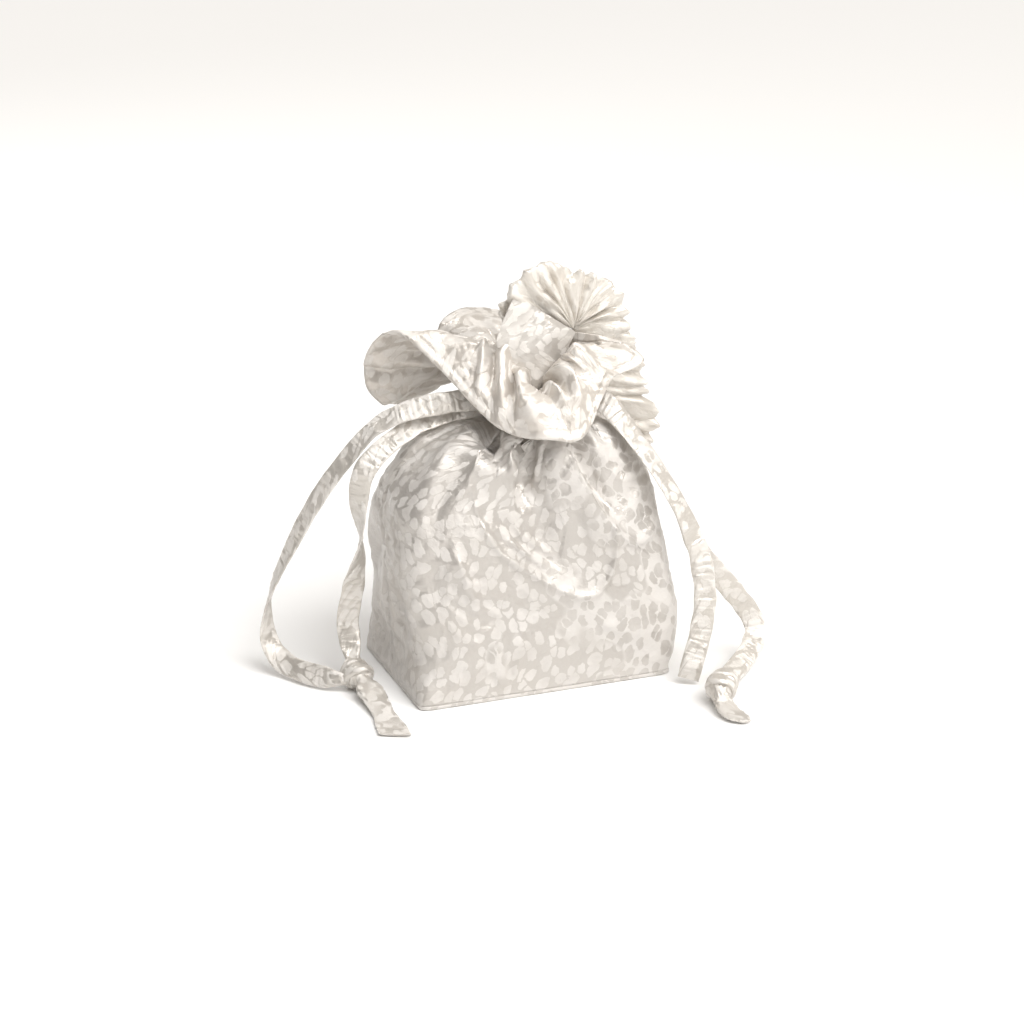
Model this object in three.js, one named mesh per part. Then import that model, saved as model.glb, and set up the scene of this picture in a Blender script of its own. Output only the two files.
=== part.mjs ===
import * as THREE from 'three';

// A small silk drawstring handbag. Millimetres, +Z up, front towards -Y, origin under the base's middle.

// Driving sizes of the pouch
const base_width = 210;
const base_depth = 142;
const base_squareness = 26;
const seam_height = 7.5;
const pouch_top = 204;
const cloth_wall = 2;
const seam_gap = 0.3;
const fold_rise = 11;
const fold_breadth = 13;

// Where the folds fade out towards the side faces, as the front or back share of a wall's direction
const fold_fade_start = 0.35;
const fold_fade_end = 0.62;

// Driving sizes of the gathered neck
const neck_width = 78;
const neck_depth = 61;
const neck_squareness = 2.1;
const neck_shift = 17;
const gather_count = 16;
const gather_depth = 3.2;
const gather_length = 42;
const casing_height = 22;
const casing_swell = 2.5;

// Driving sizes of the frill
const frill_reach = 96;
const frill_rise = 60;
const frill_ripple = 2.2;
const frill_ripple_count = 24;

// Driving sizes of the handle
const handle_width = 46;
const handle_thickness = 7;
const handle_drop = 100;
const handle_side = 36;
const handle_tilt = 0.35;
const handle_foot = 0.8;
const handle_sag = 0.42;
const handle_seat_turn = 0.34;
const fan_inset = 2;
const edge_padding = 0.35;
const padding_roundness = 0.7;
const ruche_depth = 2.2;
const ruche_count = 22;
const tab_length = 92;
const tab_width = 62;
const tab_thickness = 3;
const tab_foot_left = 5;
const tab_foot_drop = 3;
const tab_gap = 0.45;

// Driving sizes of the drawstrings
const ribbon_width = 18;
const ribbon_thickness = 1.8;
const knot_width = 23;

// How finely the surfaces are cut
const front_columns = 30;
const side_columns = 11;
const back_columns = 20;
const pouch_outer_steps = 16;
const pouch_inner_steps = 9;
const ring_crowding = 1.25;
const casing_steps = 4;
const frill_columns = 90;
const frill_steps = 6;
const fan_steps = 10;
const rows_per_ruche = 3;
const strap_columns = 5;
const tab_columns = 8;
const knot_sides = 12;
const ribbon_step = 0.85;
const normal_step = 0.004;

// Cloth of each piece
const silk = new THREE.MeshStandardMaterial({ color: 0xece4d8, roughness: 0.42, metalness: 0 });
const silk_ruched = new THREE.MeshStandardMaterial({ color: 0xf0e6d6, roughness: 0.38, metalness: 0 });
const silk_ribbon = new THREE.MeshStandardMaterial({ color: 0xeae1d4, roughness: 0.45, metalness: 0 });
const silk_base = new THREE.MeshStandardMaterial({ color: 0xe6ddd0, roughness: 0.5, metalness: 0 });

// Cross-sections of the pouch from the base seam up to the neck. height is a share of the pouch,
// width and depth go from 1 at the base size to 0 at the neck size, shift is a share of the neck's shift.
const pouch_sections = [
  { height: 0.00, width: 1.000, depth: 1.000, shift: 0.00, squareness: 22 },
  { height: 0.08, width: 1.050, depth: 1.010, shift: 0.38, squareness: 13 },
  { height: 0.22, width: 1.080, depth: 0.990, shift: 0.40, squareness: 8 },
  { height: 0.45, width: 1.070, depth: 0.905, shift: 0.05, squareness: 5.5 },
  { height: 0.62, width: 1.040, depth: 0.790, shift: -0.08, squareness: 4.6 },
  { height: 0.76, width: 0.960, depth: 0.640, shift: -0.10, squareness: 3.8 },
  { height: 0.87, width: 0.790, depth: 0.440, shift: 0.02, squareness: 3.1 },
  { height: 0.95, width: 0.460, depth: 0.190, shift: 0.42, squareness: 2.5 },
  { height: 1.00, width: 0.000, depth: 0.000, shift: 1.00, squareness: 2.1 },
];

// Folds of the front cloth, each along a bent line. x is a share of half the base width, z of the
// pouch's top, breadth of the fold breadth and rise of the fold rise, with a crease below zero.
const front_folds = [
  { x0: -0.34, z0: 1.02, x1: -0.34, z1: 0.97, x2: -0.30, z2: 0.91, breadth: 0.60, rise: -0.95 },
  { x0: -0.25, z0: 1.00, x1: -0.24, z1: 0.90, x2: -0.21, z2: 0.80, breadth: 0.50, rise: 0.55 },
  { x0: -0.14, z0: 1.00, x1: -0.17, z1: 0.86, x2: -0.10, z2: 0.69, breadth: 0.52, rise: -0.90 },
  { x0: 0.10, z0: 0.97, x1: 0.26, z1: 0.76, x2: 0.52, z2: 0.58, breadth: 0.95, rise: -0.65 },
  { x0: 0.24, z0: 0.97, x1: 0.42, z1: 0.75, x2: 0.69, z2: 0.57, breadth: 0.85, rise: 0.55 },
  { x0: 0.59, z0: 0.92, x1: 0.92, z1: 0.72, x2: 0.72, z2: 0.56, breadth: 0.80, rise: 0.30 },
  { x0: -0.54, z0: 0.84, x1: -0.44, z1: 0.56, x2: 0.08, z2: 0.42, breadth: 0.75, rise: 0.38 },
  { x0: 0.08, z0: 0.42, x1: 0.58, z1: 0.29, x2: 0.52, z2: 0.56, breadth: 0.75, rise: 0.38 },
  { x0: -0.20, z0: 0.72, x1: 0.05, z1: 0.55, x2: 0.30, z2: 0.50, breadth: 1.40, rise: -0.35 },
];

// Folds of the back cloth, in the same terms.
const back_folds = [
  { x0: -0.30, z0: 1.00, x1: -0.34, z1: 0.80, x2: -0.52, z2: 0.62, breadth: 0.80, rise: -0.60 },
  { x0: 0.02, z0: 1.00, x1: 0.06, z1: 0.80, x2: -0.04, z2: 0.55, breadth: 0.75, rise: -0.75 },
  { x0: 0.30, z0: 1.00, x1: 0.40, z1: 0.78, x2: 0.60, z2: 0.60, breadth: 0.90, rise: -0.55 },
  { x0: -0.60, z0: 0.50, x1: 0.00, z1: 0.34, x2: 0.60, z2: 0.48, breadth: 1.20, rise: 0.30 },
];

// The frill round the neck. angle is in degrees from the front towards the right, and each waypoint has
// its distance from the neck's axis as a share of the frill's reach and its height above the casing's
// middle as a share of the frill's rise, half way along the cloth and at the hem.
const frill_stations = [
  { angle: -10.7, half_reach: 0.49, half_rise: 0.46, reach: 0.74, rise: -0.15 },
  { angle: -32.7, half_reach: 0.47, half_rise: 0.46, reach: 0.67, rise: -0.15 },
  { angle: -50.7, half_reach: 0.45, half_rise: 0.48, reach: 0.64, rise: -0.06 },
  { angle: -70.7, half_reach: 0.45, half_rise: 0.54, reach: 0.66, rise: 0.15 },
  { angle: -86.7, half_reach: 0.45, half_rise: 0.66, reach: 0.73, rise: 0.38 },
  { angle: -100.7, half_reach: 0.47, half_rise: 0.80, reach: 0.91, rise: 0.70 },
  { angle: -110.7, half_reach: 0.50, half_rise: 0.82, reach: 1.15, rise: 0.95 },
  { angle: -116.7, half_reach: 0.58, half_rise: 0.72, reach: 1.33, rise: 0.70 },
  { angle: -120.2, half_reach: 0.68, half_rise: 0.53, reach: 1.43, rise: 0.32 },
  { angle: -124.2, half_reach: 0.68, half_rise: 0.36, reach: 1.40, rise: -0.07 },
  { angle: -129.7, half_reach: 0.64, half_rise: 0.26, reach: 1.24, rise: -0.25 },
  { angle: -137.7, half_reach: 0.57, half_rise: 0.27, reach: 1.02, rise: -0.10 },
  { angle: -145.7, half_reach: 0.52, half_rise: 0.52, reach: 0.96, rise: 0.45 },
  { angle: -154.7, half_reach: 0.52, half_rise: 0.70, reach: 0.98, rise: 0.76 },
  { angle: -171.7, half_reach: 0.54, half_rise: 0.74, reach: 0.98, rise: 0.86 },
  { angle: -184.7, half_reach: 0.52, half_rise: 0.64, reach: 0.95, rise: 0.70 },
  { angle: -192.7, half_reach: 0.50, half_rise: 0.38, reach: 0.88, rise: 0.17 },
  { angle: -200.7, half_reach: 0.49, half_rise: 0.30, reach: 0.84, rise: -0.10 },
  { angle: -211.7, half_reach: 0.51, half_rise: 0.42, reach: 0.82, rise: 0.18 },
  { angle: -224.7, half_reach: 0.52, half_rise: 0.56, reach: 0.84, rise: 0.52 },
  { angle: -238.7, half_reach: 0.46, half_rise: 0.56, reach: 0.62, rise: 0.62 },
  { angle: -249.7, half_reach: 0.38, half_rise: 0.50, reach: 0.35, rise: 0.72 },
  { angle: -260.7, half_reach: 0.36, half_rise: 0.50, reach: 0.31, rise: 0.80 },
  { angle: -271.7, half_reach: 0.37, half_rise: 0.54, reach: 0.36, rise: 0.86 },
  { angle: -283.7, half_reach: 0.45, half_rise: 0.66, reach: 0.64, rise: 0.82 },
  { angle: -293.7, half_reach: 0.49, half_rise: 0.70, reach: 0.86, rise: 0.66 },
  { angle: -304.7, half_reach: 0.50, half_rise: 0.56, reach: 0.80, rise: 0.46 },
  { angle: -314.7, half_reach: 0.48, half_rise: 0.50, reach: 0.66, rise: 0.44 },
  { angle: -325.7, half_reach: 0.47, half_rise: 0.42, reach: 0.63, rise: 0.20 },
  { angle: -341.7, half_reach: 0.48, half_rise: 0.44, reach: 0.68, rise: -0.05 },
  { angle: -356.7, half_reach: 0.50, half_rise: 0.46, reach: 0.76, rise: -0.18 },
];

// The smooth tab, from its narrow end in the mouth up to its slanted seam. x is a share of the tab's
// width and z of its length, both from the tab's foot, y a share of the neck's depth.
const tab_rows = [
  { left_x: -0.12, left_z: 0.00, right_x: 0.12, right_z: 0.00, y: -0.24 },
  { left_x: -0.15, left_z: 0.17, right_x: 0.13, right_z: 0.17, y: -0.24 },
  { left_x: -0.28, left_z: 0.38, right_x: 0.27, right_z: 0.37, y: -0.23 },
  { left_x: -0.52, left_z: 0.59, right_x: 0.40, right_z: 0.49, y: -0.20 },
  { left_x: -0.47, left_z: 0.73, right_x: 0.47, right_z: 0.56, y: -0.18 },
  { left_x: -0.37, left_z: 0.87, right_x: 0.52, right_z: 0.60, y: -0.15 },
  { left_x: -0.25, left_z: 1.00, right_x: 0.55, right_z: 0.625, y: -0.12 },
];

// Breadth of the ruched strap through its fan, as a share of the handle's width. turn goes from 0 at the
// tab's seam to 1 where the strap starts to hang.
const fan_rows = [
  { turn: 0.00, breadth: 1.26 },
  { turn: 0.10, breadth: 1.38 },
  { turn: 0.18, breadth: 1.34 },
  { turn: 0.27, breadth: 1.17 },
  { turn: 0.37, breadth: 0.99 },
  { turn: 0.50, breadth: 0.91 },
  { turn: 0.70, breadth: 0.96 },
  { turn: 1.00, breadth: 1.00 },
];

// Where the ruched strap hangs after its fan, down beside the right shoulder. across is its middle as
// a share of the strap's sideways reach, drop a share of its drop, back a share of the neck's depth.
const hang_rows = [
  { across: 0.00, drop: 0.00, back: 0.10, breadth: 1.00 },
  { across: 0.17, drop: 0.15, back: 0.15, breadth: 1.04 },
  { across: 0.36, drop: 0.34, back: 0.20, breadth: 1.09 },
  { across: 0.55, drop: 0.58, back: 0.27, breadth: 1.12 },
  { across: 0.92, drop: 0.82, back: 0.36, breadth: 1.08 },
];

// Free drawstring strands, chosen by hand: points along the middle of the ribbon and how far its face
// is turned there, in degrees.
const left_outer_route = [
  [-26.4, 1, 221, 0], [-33, 2, 221.5, 0], [-61, 4, 220.5, 0], [-86.4, 12, 214.5, 25], [-109.6, 21, 200.6, 42],
  [-133, 26, 174.2, 40], [-153, 29, 147, 40], [-170, 38, 112, 48], [-185, 48, 74, 72],
  [-190, 52, 46, 108], [-190, 46, 25, 145], [-183, 32, 12.5, 180], [-172, 12, 10.5, 180],
  [-160, -3, 10.5, 180], [-150, -10.4, 10.5, 180],
];
const left_inner_route = [
  [-22.7, 9, 213.4, 0], [-35, 9, 213.4, 0], [-66, 11, 208, 15], [-93.5, 6, 197.5, 30],
  [-113, 1, 186.5, 12], [-125, 0, 172, 5], [-128, 4, 147, 30], [-127, 4, 113.6, 95],
  [-131.5, 9, 79.2, 160], [-136, 12, 50.8, 180], [-136.5, 7, 36, 180], [-137, -1.8, 22.9, 180],
];
const right_short_route = [
  [59, -18.6, 219, 0], [66, -28, 213.5, -15], [79, -43, 194, -40], [95.5, -58, 167, -44],
  [110.5, -68, 138, -42], [121.5, -73, 110.2, -24], [126, -77, 90, 0], [126.5, -83, 66, 0],
  [121, -88, 40, 0], [112.5, -93, 18, 0], [108, -95, 5, 0],
];
const right_long_route = [
  [62.6, -10.9, 217, 0], [70, -20, 211, -15], [82.5, -36, 192, -40], [98.7, -51.2, 165, -44],
  [113.5, -61.2, 135.5, -42], [123, -66.5, 110, -24], [133, -66, 92, 0], [147, -62, 76, 0],
  [166.5, -57, 52.5, 0], [178.5, -56, 36, 0], [181.5, -62, 24.5, 0], [173, -74, 16, 0], [159, -88, 11.5, 0],
  [145, -102, 10.5, 0], [129.5, -118.6, 11.3, 0],
];

// Knots with their tails: points along the middle, chosen by hand, with the breadth and the thickness
// as shares of the knot's width.
const left_knot_route = [
  [-138, 5, 13, 0.30, 0.30], [-137.5, 0, 12.5, 0.86, 0.78], [-137, -8, 12.2, 1.00, 0.96],
  [-135.5, -16, 11.6, 0.92, 0.88], [-134.5, -22, 10, 0.62, 0.55], [-133.5, -32, 7.6, 0.68, 0.30],
  [-133, -50, 4.6, 0.82, 0.17], [-133.5, -70, 2.8, 0.92, 0.14], [-135, -90, 2.4, 0.98, 0.12],
  [-137, -108, 2.2, 0.94, 0.10],
];
const right_knot_route = [
  [129, -119.2, 11.8, 0.30, 0.30], [124, -125, 12.4, 0.86, 0.80], [119, -132, 12.2, 1.00, 0.96],
  [115, -139, 11.6, 0.92, 0.86], [113.5, -144, 10, 0.62, 0.55], [113, -150, 7, 0.66, 0.30],
  [113.5, -160, 4.2, 0.78, 0.18], [116, -170, 2.8, 0.74, 0.14], [119, -178, 2.3, 0.30, 0.10],
];

const camera_side = new THREE.Vector3(-0.33, -0.88, 0.34).normalize();
const neck_height = pouch_top + seam_gap + casing_height / 2;

// Value of one column of a table at a place between its rows, on a smooth curve through them.
function column(rows, key, place_key, place) {
  let i = 0;
  while (i < rows.length - 2 && place > rows[i + 1][place_key]) i += 1;
  const from = rows[i];
  const to = rows[i + 1];
  const before = rows[Math.max(i - 1, 0)];
  const after = rows[Math.min(i + 2, rows.length - 1)];
  const step = to[place_key] - from[place_key];
  const t = THREE.MathUtils.clamp((place - from[place_key]) / step, 0, 1);
  const slope0 = (to[key] - before[key]) / (to[place_key] - before[place_key]) * step;
  const slope1 = (after[key] - from[key]) / (after[place_key] - from[place_key]) * step;
  const t2 = t * t;
  const t3 = t2 * t;
  return from[key] * (2 * t3 - 3 * t2 + 1) + slope0 * (t3 - 2 * t2 + t)
    + to[key] * (3 * t2 - 2 * t3) + slope1 * (t3 - t2);
}

// Distance from the middle of a squared-off oval to its edge, in the direction of a unit vector.
function ovalRadius(direction, half_width, half_depth, squareness) {
  const across = Math.abs(direction.x) / half_width;
  const along = Math.abs(direction.y) / half_depth;
  return (across ** squareness + along ** squareness) ** (-1 / squareness);
}

// Directions from the middle to points spread along the four sides of the base, front side first.
function wallDirections(front_steps, side_steps, back_steps) {
  const corners = [[-1, -1], [1, -1], [1, 1], [-1, 1]];
  const steps = [front_steps, side_steps, back_steps, side_steps];
  const directions = [];
  for (let side = 0; side < corners.length; side += 1) {
    const from = corners[side];
    const to = corners[(side + 1) % corners.length];
    for (let i = 0; i < steps[side]; i += 1) {
      const t = i / steps[side];
      const x = THREE.MathUtils.lerp(from[0], to[0], t) * base_width / 2;
      const y = THREE.MathUtils.lerp(from[1], to[1], t) * base_depth / 2;
      directions.push(new THREE.Vector2(x, y).normalize());
    }
  }
  return directions;
}

// Point on the pouch's smooth form before folds, with its sideways normal.
function smoothPouch(direction, z) {
  const height = (z - seam_height) / (pouch_top - seam_height);
  const width = column(pouch_sections, 'width', 'height', height);
  const depth = column(pouch_sections, 'depth', 'height', height);
  const shift = column(pouch_sections, 'shift', 'height', height) * neck_shift;
  const squareness = column(pouch_sections, 'squareness', 'height', height);
  const half_width = THREE.MathUtils.lerp(neck_width, base_width, width) / 2;
  const half_depth = THREE.MathUtils.lerp(neck_depth, base_depth, depth) / 2;
  const radius = ovalRadius(direction, half_width, half_depth, squareness);
  return new THREE.Vector3(shift + direction.x * radius, direction.y * radius, z);
}

// How far the gathers at the neck push the cloth out in a direction, at a height.
function gatherOffset(direction, z) {
  const angle = Math.atan2(direction.x, -direction.y);
  const hold = THREE.MathUtils.smoothstep(z, pouch_top - gather_length, pouch_top);
  return hold * gather_depth * Math.cos(gather_count * angle);
}

// How far the folds of a face push its cloth out at x, z.
function foldOffset(folds, x, z) {
  let offset = 0;
  for (const fold of folds) {
    const half = base_width / 2;
    const start = new THREE.Vector2(fold.x0 * half, fold.z0 * pouch_top);
    const middle = new THREE.Vector2(fold.x1 * half, fold.z1 * pouch_top);
    const end = new THREE.Vector2(fold.x2 * half, fold.z2 * pouch_top);
    const line = new THREE.QuadraticBezierCurve(start, middle, end);
    let nearest = Infinity;
    for (const point of line.getPoints(12)) {
      nearest = Math.min(nearest, Math.hypot(point.x - x, point.y - z));
    }
    const spread = nearest / (fold.breadth * fold_breadth);
    offset += fold.rise * fold_rise * Math.exp(-spread * spread);
  }
  return offset;
}

// Point on the pouch's cloth, pushed in by depth from its outer face.
function pouchPoint(direction, z, depth = 0) {
  const smooth = smoothPouch(direction, z);
  const folds = direction.y < 0 ? front_folds : back_folds;
  const facing = THREE.MathUtils.smoothstep(Math.abs(direction.y), fold_fade_start, fold_fade_end);
  const seam_hold = THREE.MathUtils.smoothstep(z, seam_height, seam_height + fold_breadth * 2);
  const fold = foldOffset(folds, smooth.x, z) * facing * seam_hold;
  const push = fold + gatherOffset(direction, z) - depth;
  return smooth.add(new THREE.Vector3(direction.x * push, direction.y * push, 0));
}

// Closed ring-shaped wall between outer rings and inner rings, each listed from the bottom up.
function closedWall(outer_rings, inner_rings) {
  const columns = outer_rings[0].length;
  const rings = [...outer_rings, ...[...inner_rings].reverse()];
  const positions = rings.flat().flatMap((point) => point.toArray());
  const index = [];
  for (let row = 0; row < rings.length; row += 1) {
    const next_row = (row + 1) % rings.length;
    for (let i = 0; i < columns; i += 1) {
      const j = (i + 1) % columns;
      const a = row * columns + i;
      const b = row * columns + j;
      const c = next_row * columns + j;
      const d = next_row * columns + i;
      index.push(a, b, c, a, c, d);
    }
  }
  return indexedGeometry(positions, index);
}

// Closed solid whose rings go from a first middle point out and round to a last middle point.
function closedTray(first_middle, rings, last_middle) {
  const columns = rings[0].length;
  const points = [...rings.flat(), first_middle, last_middle];
  const first = rings.length * columns;
  const last = first + 1;
  const index = [];
  for (let i = 0; i < columns; i += 1) {
    const j = (i + 1) % columns;
    index.push(first, j, i);
    for (let row = 0; row < rings.length - 1; row += 1) {
      const low = row * columns;
      const high = low + columns;
      index.push(low + i, low + j, high + j, low + i, high + j, high + i);
    }
    const top = (rings.length - 1) * columns;
    index.push(last, top + i, top + j);
  }
  return indexedGeometry(points.flatMap((point) => point.toArray()), index);
}

// Closed sheet between a front grid and a back grid of the same size.
function closedSheet(front, back) {
  const rows = front.length;
  const columns = front[0].length;
  const points = [...front.flat(), ...back.flat()];
  const offset = rows * columns;
  const index = [];
  const quad = (a, b, c, d) => index.push(a, b, c, a, c, d);
  for (let row = 0; row < rows - 1; row += 1) {
    for (let i = 0; i < columns - 1; i += 1) {
      const a = row * columns + i;
      const b = a + 1;
      const c = b + columns;
      const d = a + columns;
      quad(a, b, c, d);
      quad(offset + a, offset + d, offset + c, offset + b);
    }
  }
  for (let i = 0; i < columns - 1; i += 1) {
    const top = (rows - 1) * columns + i;
    quad(i, offset + i, offset + i + 1, i + 1);
    quad(top, top + 1, offset + top + 1, offset + top);
  }
  for (let row = 0; row < rows - 1; row += 1) {
    const left = row * columns;
    const right = left + columns - 1;
    quad(left, left + columns, offset + left + columns, offset + left);
    quad(right, offset + right, offset + right + columns, right + columns);
  }
  return indexedGeometry(points.flatMap((point) => point.toArray()), index);
}

function indexedGeometry(positions, index) {
  const geometry = new THREE.BufferGeometry();
  geometry.setAttribute('position', new THREE.Float32BufferAttribute(positions, 3));
  geometry.setIndex(index);
  geometry.computeVertexNormals();
  return geometry;
}

function ringAt(directions, place) {
  return directions.map((direction) => place(direction));
}

// The base: a flat panel whose edge is turned up to the seam.
function basePanel(directions) {
  const outline = (inset, z) => ringAt(directions, (direction) => {
    const radius = ovalRadius(direction, base_width / 2 - inset, base_depth / 2 - inset, base_squareness);
    return new THREE.Vector3(direction.x * radius, direction.y * radius, z);
  });
  const rings = [
    outline(cloth_wall / 2, 0),
    outline(0, cloth_wall / 2),
    outline(0, seam_height),
    outline(cloth_wall, seam_height),
    outline(cloth_wall, cloth_wall),
  ];
  return closedTray(new THREE.Vector3(0, 0, 0), rings, new THREE.Vector3(0, 0, cloth_wall));
}

// The pouch: one hollow wall from the base seam up to the neck.
function pouchBody(directions) {
  const bottom = seam_height + seam_gap;
  const heights = (steps) => [...Array(steps + 1).keys()].map((i) => {
    const share = 1 - (1 - i / steps) ** ring_crowding;
    return THREE.MathUtils.lerp(bottom, pouch_top, share);
  });
  const outer = heights(pouch_outer_steps).map((z) => ringAt(directions, (d) => pouchPoint(d, z)));
  const inner = heights(pouch_inner_steps).map((z) => (
    ringAt(directions, (d) => pouchPoint(d, z, cloth_wall))
  ));
  return closedWall(outer, inner);
}

// Point on the gathered neck at a height, swollen out by swell.
function neckPoint(direction, z, swell) {
  const radius = ovalRadius(direction, neck_width / 2, neck_depth / 2, neck_squareness)
    + gatherOffset(direction, pouch_top) + swell;
  return new THREE.Vector3(neck_shift + direction.x * radius, direction.y * radius, z);
}

// The casing round the neck that the drawstrings run in.
function drawstringCasing(directions) {
  const bottom = pouch_top + seam_gap;
  const outer = [];
  for (let i = 0; i <= casing_steps; i += 1) {
    const share = i / casing_steps;
    const swell = casing_swell * Math.sin(Math.PI * share);
    outer.push(ringAt(directions, (d) => neckPoint(d, bottom + casing_height * share, swell)));
  }
  const inner = [0, 1].map((share) => (
    ringAt(directions, (d) => neckPoint(d, bottom + casing_height * share, -cloth_wall))
  ));
  return closedWall(outer, inner);
}

// Point on the frill's cloth. turn goes once round the table of stations, share from the neck to the hem.
function frillPoint(turn, share) {
  const count = frill_stations.length;
  const place = turn * count;
  const i = Math.floor(place) % count;
  const t = place - Math.floor(place);
  const smooth = (key) => {
    const value = (n) => {
      const row = frill_stations[((n % count) + count) % count];
      const laps = Math.floor(n / count);
      return key === 'angle' ? row.angle - 360 * laps : row[key];
    };
    const [p0, p1, p2, p3] = [value(i - 1), value(i), value(i + 1), value(i + 2)];
    return 0.5 * (2 * p1 + (p2 - p0) * t + (2 * p0 - 5 * p1 + 4 * p2 - p3) * t * t
      + (3 * p1 - p0 - 3 * p2 + p3) * t * t * t);
  };
  const angle = THREE.MathUtils.degToRad(smooth('angle'));
  const direction = new THREE.Vector2(Math.sin(angle), -Math.cos(angle));
  const foot = neckPoint(direction, neck_height + casing_height / 2 + seam_gap, 0);
  const foot_reach = Math.hypot(foot.x - neck_shift, foot.y);
  const half_reach = smooth('half_reach') * frill_reach;
  const half_z = neck_height + smooth('half_rise') * frill_rise;
  const hem_reach = smooth('reach') * frill_reach;
  const hem_z = neck_height + smooth('rise') * frill_rise;
  const through = (a, b, c) => a * (1 - share) * (1 - 2 * share) + b * 4 * share * (1 - share)
    + c * share * (2 * share - 1);
  const ripple = frill_ripple * Math.sin(Math.PI * share) * Math.cos(frill_ripple_count * angle);
  const reach = through(foot_reach, half_reach, hem_reach) + ripple;
  const z = through(foot.z, half_z, hem_z);
  return new THREE.Vector3(neck_shift + direction.x * reach, direction.y * reach, z);
}

// The frill: a cloth wall that stands on the casing and falls outward in waves.
function frillCollar() {
  const outer = [];
  const inner = [];
  for (let row = 0; row <= frill_steps; row += 1) {
    const share = row / frill_steps;
    const above = Math.min(share + normal_step, 1);
    const below = Math.max(share - normal_step, 0);
    const outer_ring = [];
    const inner_ring = [];
    for (let i = 0; i < frill_columns; i += 1) {
      const turn = 1 - i / frill_columns;
      const point = frillPoint(turn, share);
      const round = frillPoint(turn - normal_step, share).sub(frillPoint(turn + normal_step, share));
      const along = frillPoint(turn, above).sub(frillPoint(turn, below));
      const normal = round.cross(along).normalize();
      if (row === 0) normal.setZ(0).normalize();
      outer_ring.push(point);
      inner_ring.push(point.clone().addScaledVector(normal, -cloth_wall));
    }
    outer.push(outer_ring);
    inner.push(inner_ring);
  }
  return closedWall(outer, inner);
}

const tab_foot = new THREE.Vector3(neck_shift - tab_foot_left, 0, neck_height - tab_foot_drop);

// Point on the tab's middle surface, at a share of the way across one of its rows.
function tabPoint(across_share, row) {
  const x = THREE.MathUtils.lerp(row.left_x, row.right_x, across_share) * tab_width;
  const z = THREE.MathUtils.lerp(row.left_z, row.right_z, across_share) * tab_length;
  return new THREE.Vector3(tab_foot.x + x, row.y * neck_depth, tab_foot.z + z);
}

// The smooth tab that stands in the mouth and carries the ruched strap at its slanted seam.
function handleTab() {
  const front = [];
  const back = [];
  for (const row of tab_rows) {
    const front_row = [];
    const back_row = [];
    for (let i = 0; i <= tab_columns; i += 1) {
      const share = i / tab_columns;
      const middle = tabPoint(share, row);
      const crown = tab_thickness * Math.sin(Math.PI * share);
      front_row.push(middle.clone().add(new THREE.Vector3(0, -tab_thickness / 2 - crown, 0)));
      back_row.push(middle.clone().add(new THREE.Vector3(0, tab_thickness / 2 - crown, 0)));
    }
    front.push(front_row);
    back.push(back_row);
  }
  return closedSheet(front, back);
}

// Middle line of the ruched strap with the direction across it: a fan round the tab's corner, then a
// stretch that hangs beside the right shoulder and seats on the pouch.
function strapStations() {
  const last_row = tab_rows[tab_rows.length - 1];
  const pivot = tabPoint(1, last_row);
  const seam_end = tabPoint(0, last_row);
  const seam_angle = Math.atan2(seam_end.z - pivot.z, seam_end.x - pivot.x);
  const seam_side = new THREE.Vector3(Math.sin(seam_angle), 0, -Math.cos(seam_angle));
  const stations = [];
  for (let i = 0; i <= fan_steps; i += 1) {
    const share = i / fan_steps;
    const angle = seam_angle * (1 - share);
    const across = new THREE.Vector3(Math.cos(angle), 0, Math.sin(angle));
    const breadth = column(fan_rows, 'breadth', 'turn', share) * handle_width;
    const inner = pivot.clone().addScaledVector(across, fan_inset).addScaledVector(seam_side, tab_gap);
    inner.y = THREE.MathUtils.lerp(pivot.y, hang_rows[0].back * neck_depth, share);
    const outer = inner.clone().addScaledVector(across, breadth);
    stations.push({ inner, outer });
  }
  const fan_end = stations[fan_steps];
  const start = fan_end.inner.clone().lerp(fan_end.outer, 0.5);
  for (const row of hang_rows.slice(1)) {
    const tilt = -handle_tilt * row.drop;
    const across = new THREE.Vector3(Math.cos(tilt), 0, Math.sin(tilt));
    const middle = new THREE.Vector3(
      start.x + row.across * handle_side,
      row.back * neck_depth,
      start.z - row.drop * handle_drop,
    );
    const half = row.breadth * handle_width / 2;
    stations.push({
      inner: middle.clone().addScaledVector(across, -half),
      outer: middle.clone().addScaledVector(across, half),
    });
  }
  const seat_side = new THREE.Vector2(1, handle_seat_turn).normalize();
  const seat = pouchPoint(seat_side, start.z - handle_drop);
  const reach = seam_gap + edge_padding * handle_thickness / 4;
  const inner = seat.clone().add(new THREE.Vector3(seat_side.x * reach, seat_side.y * reach, 0));
  const sag = new THREE.Vector3(Math.cos(handle_sag), 0, -Math.sin(handle_sag));
  stations.push({ inner, outer: inner.clone().addScaledVector(sag, handle_width * handle_foot) });
  return stations;
}

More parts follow.
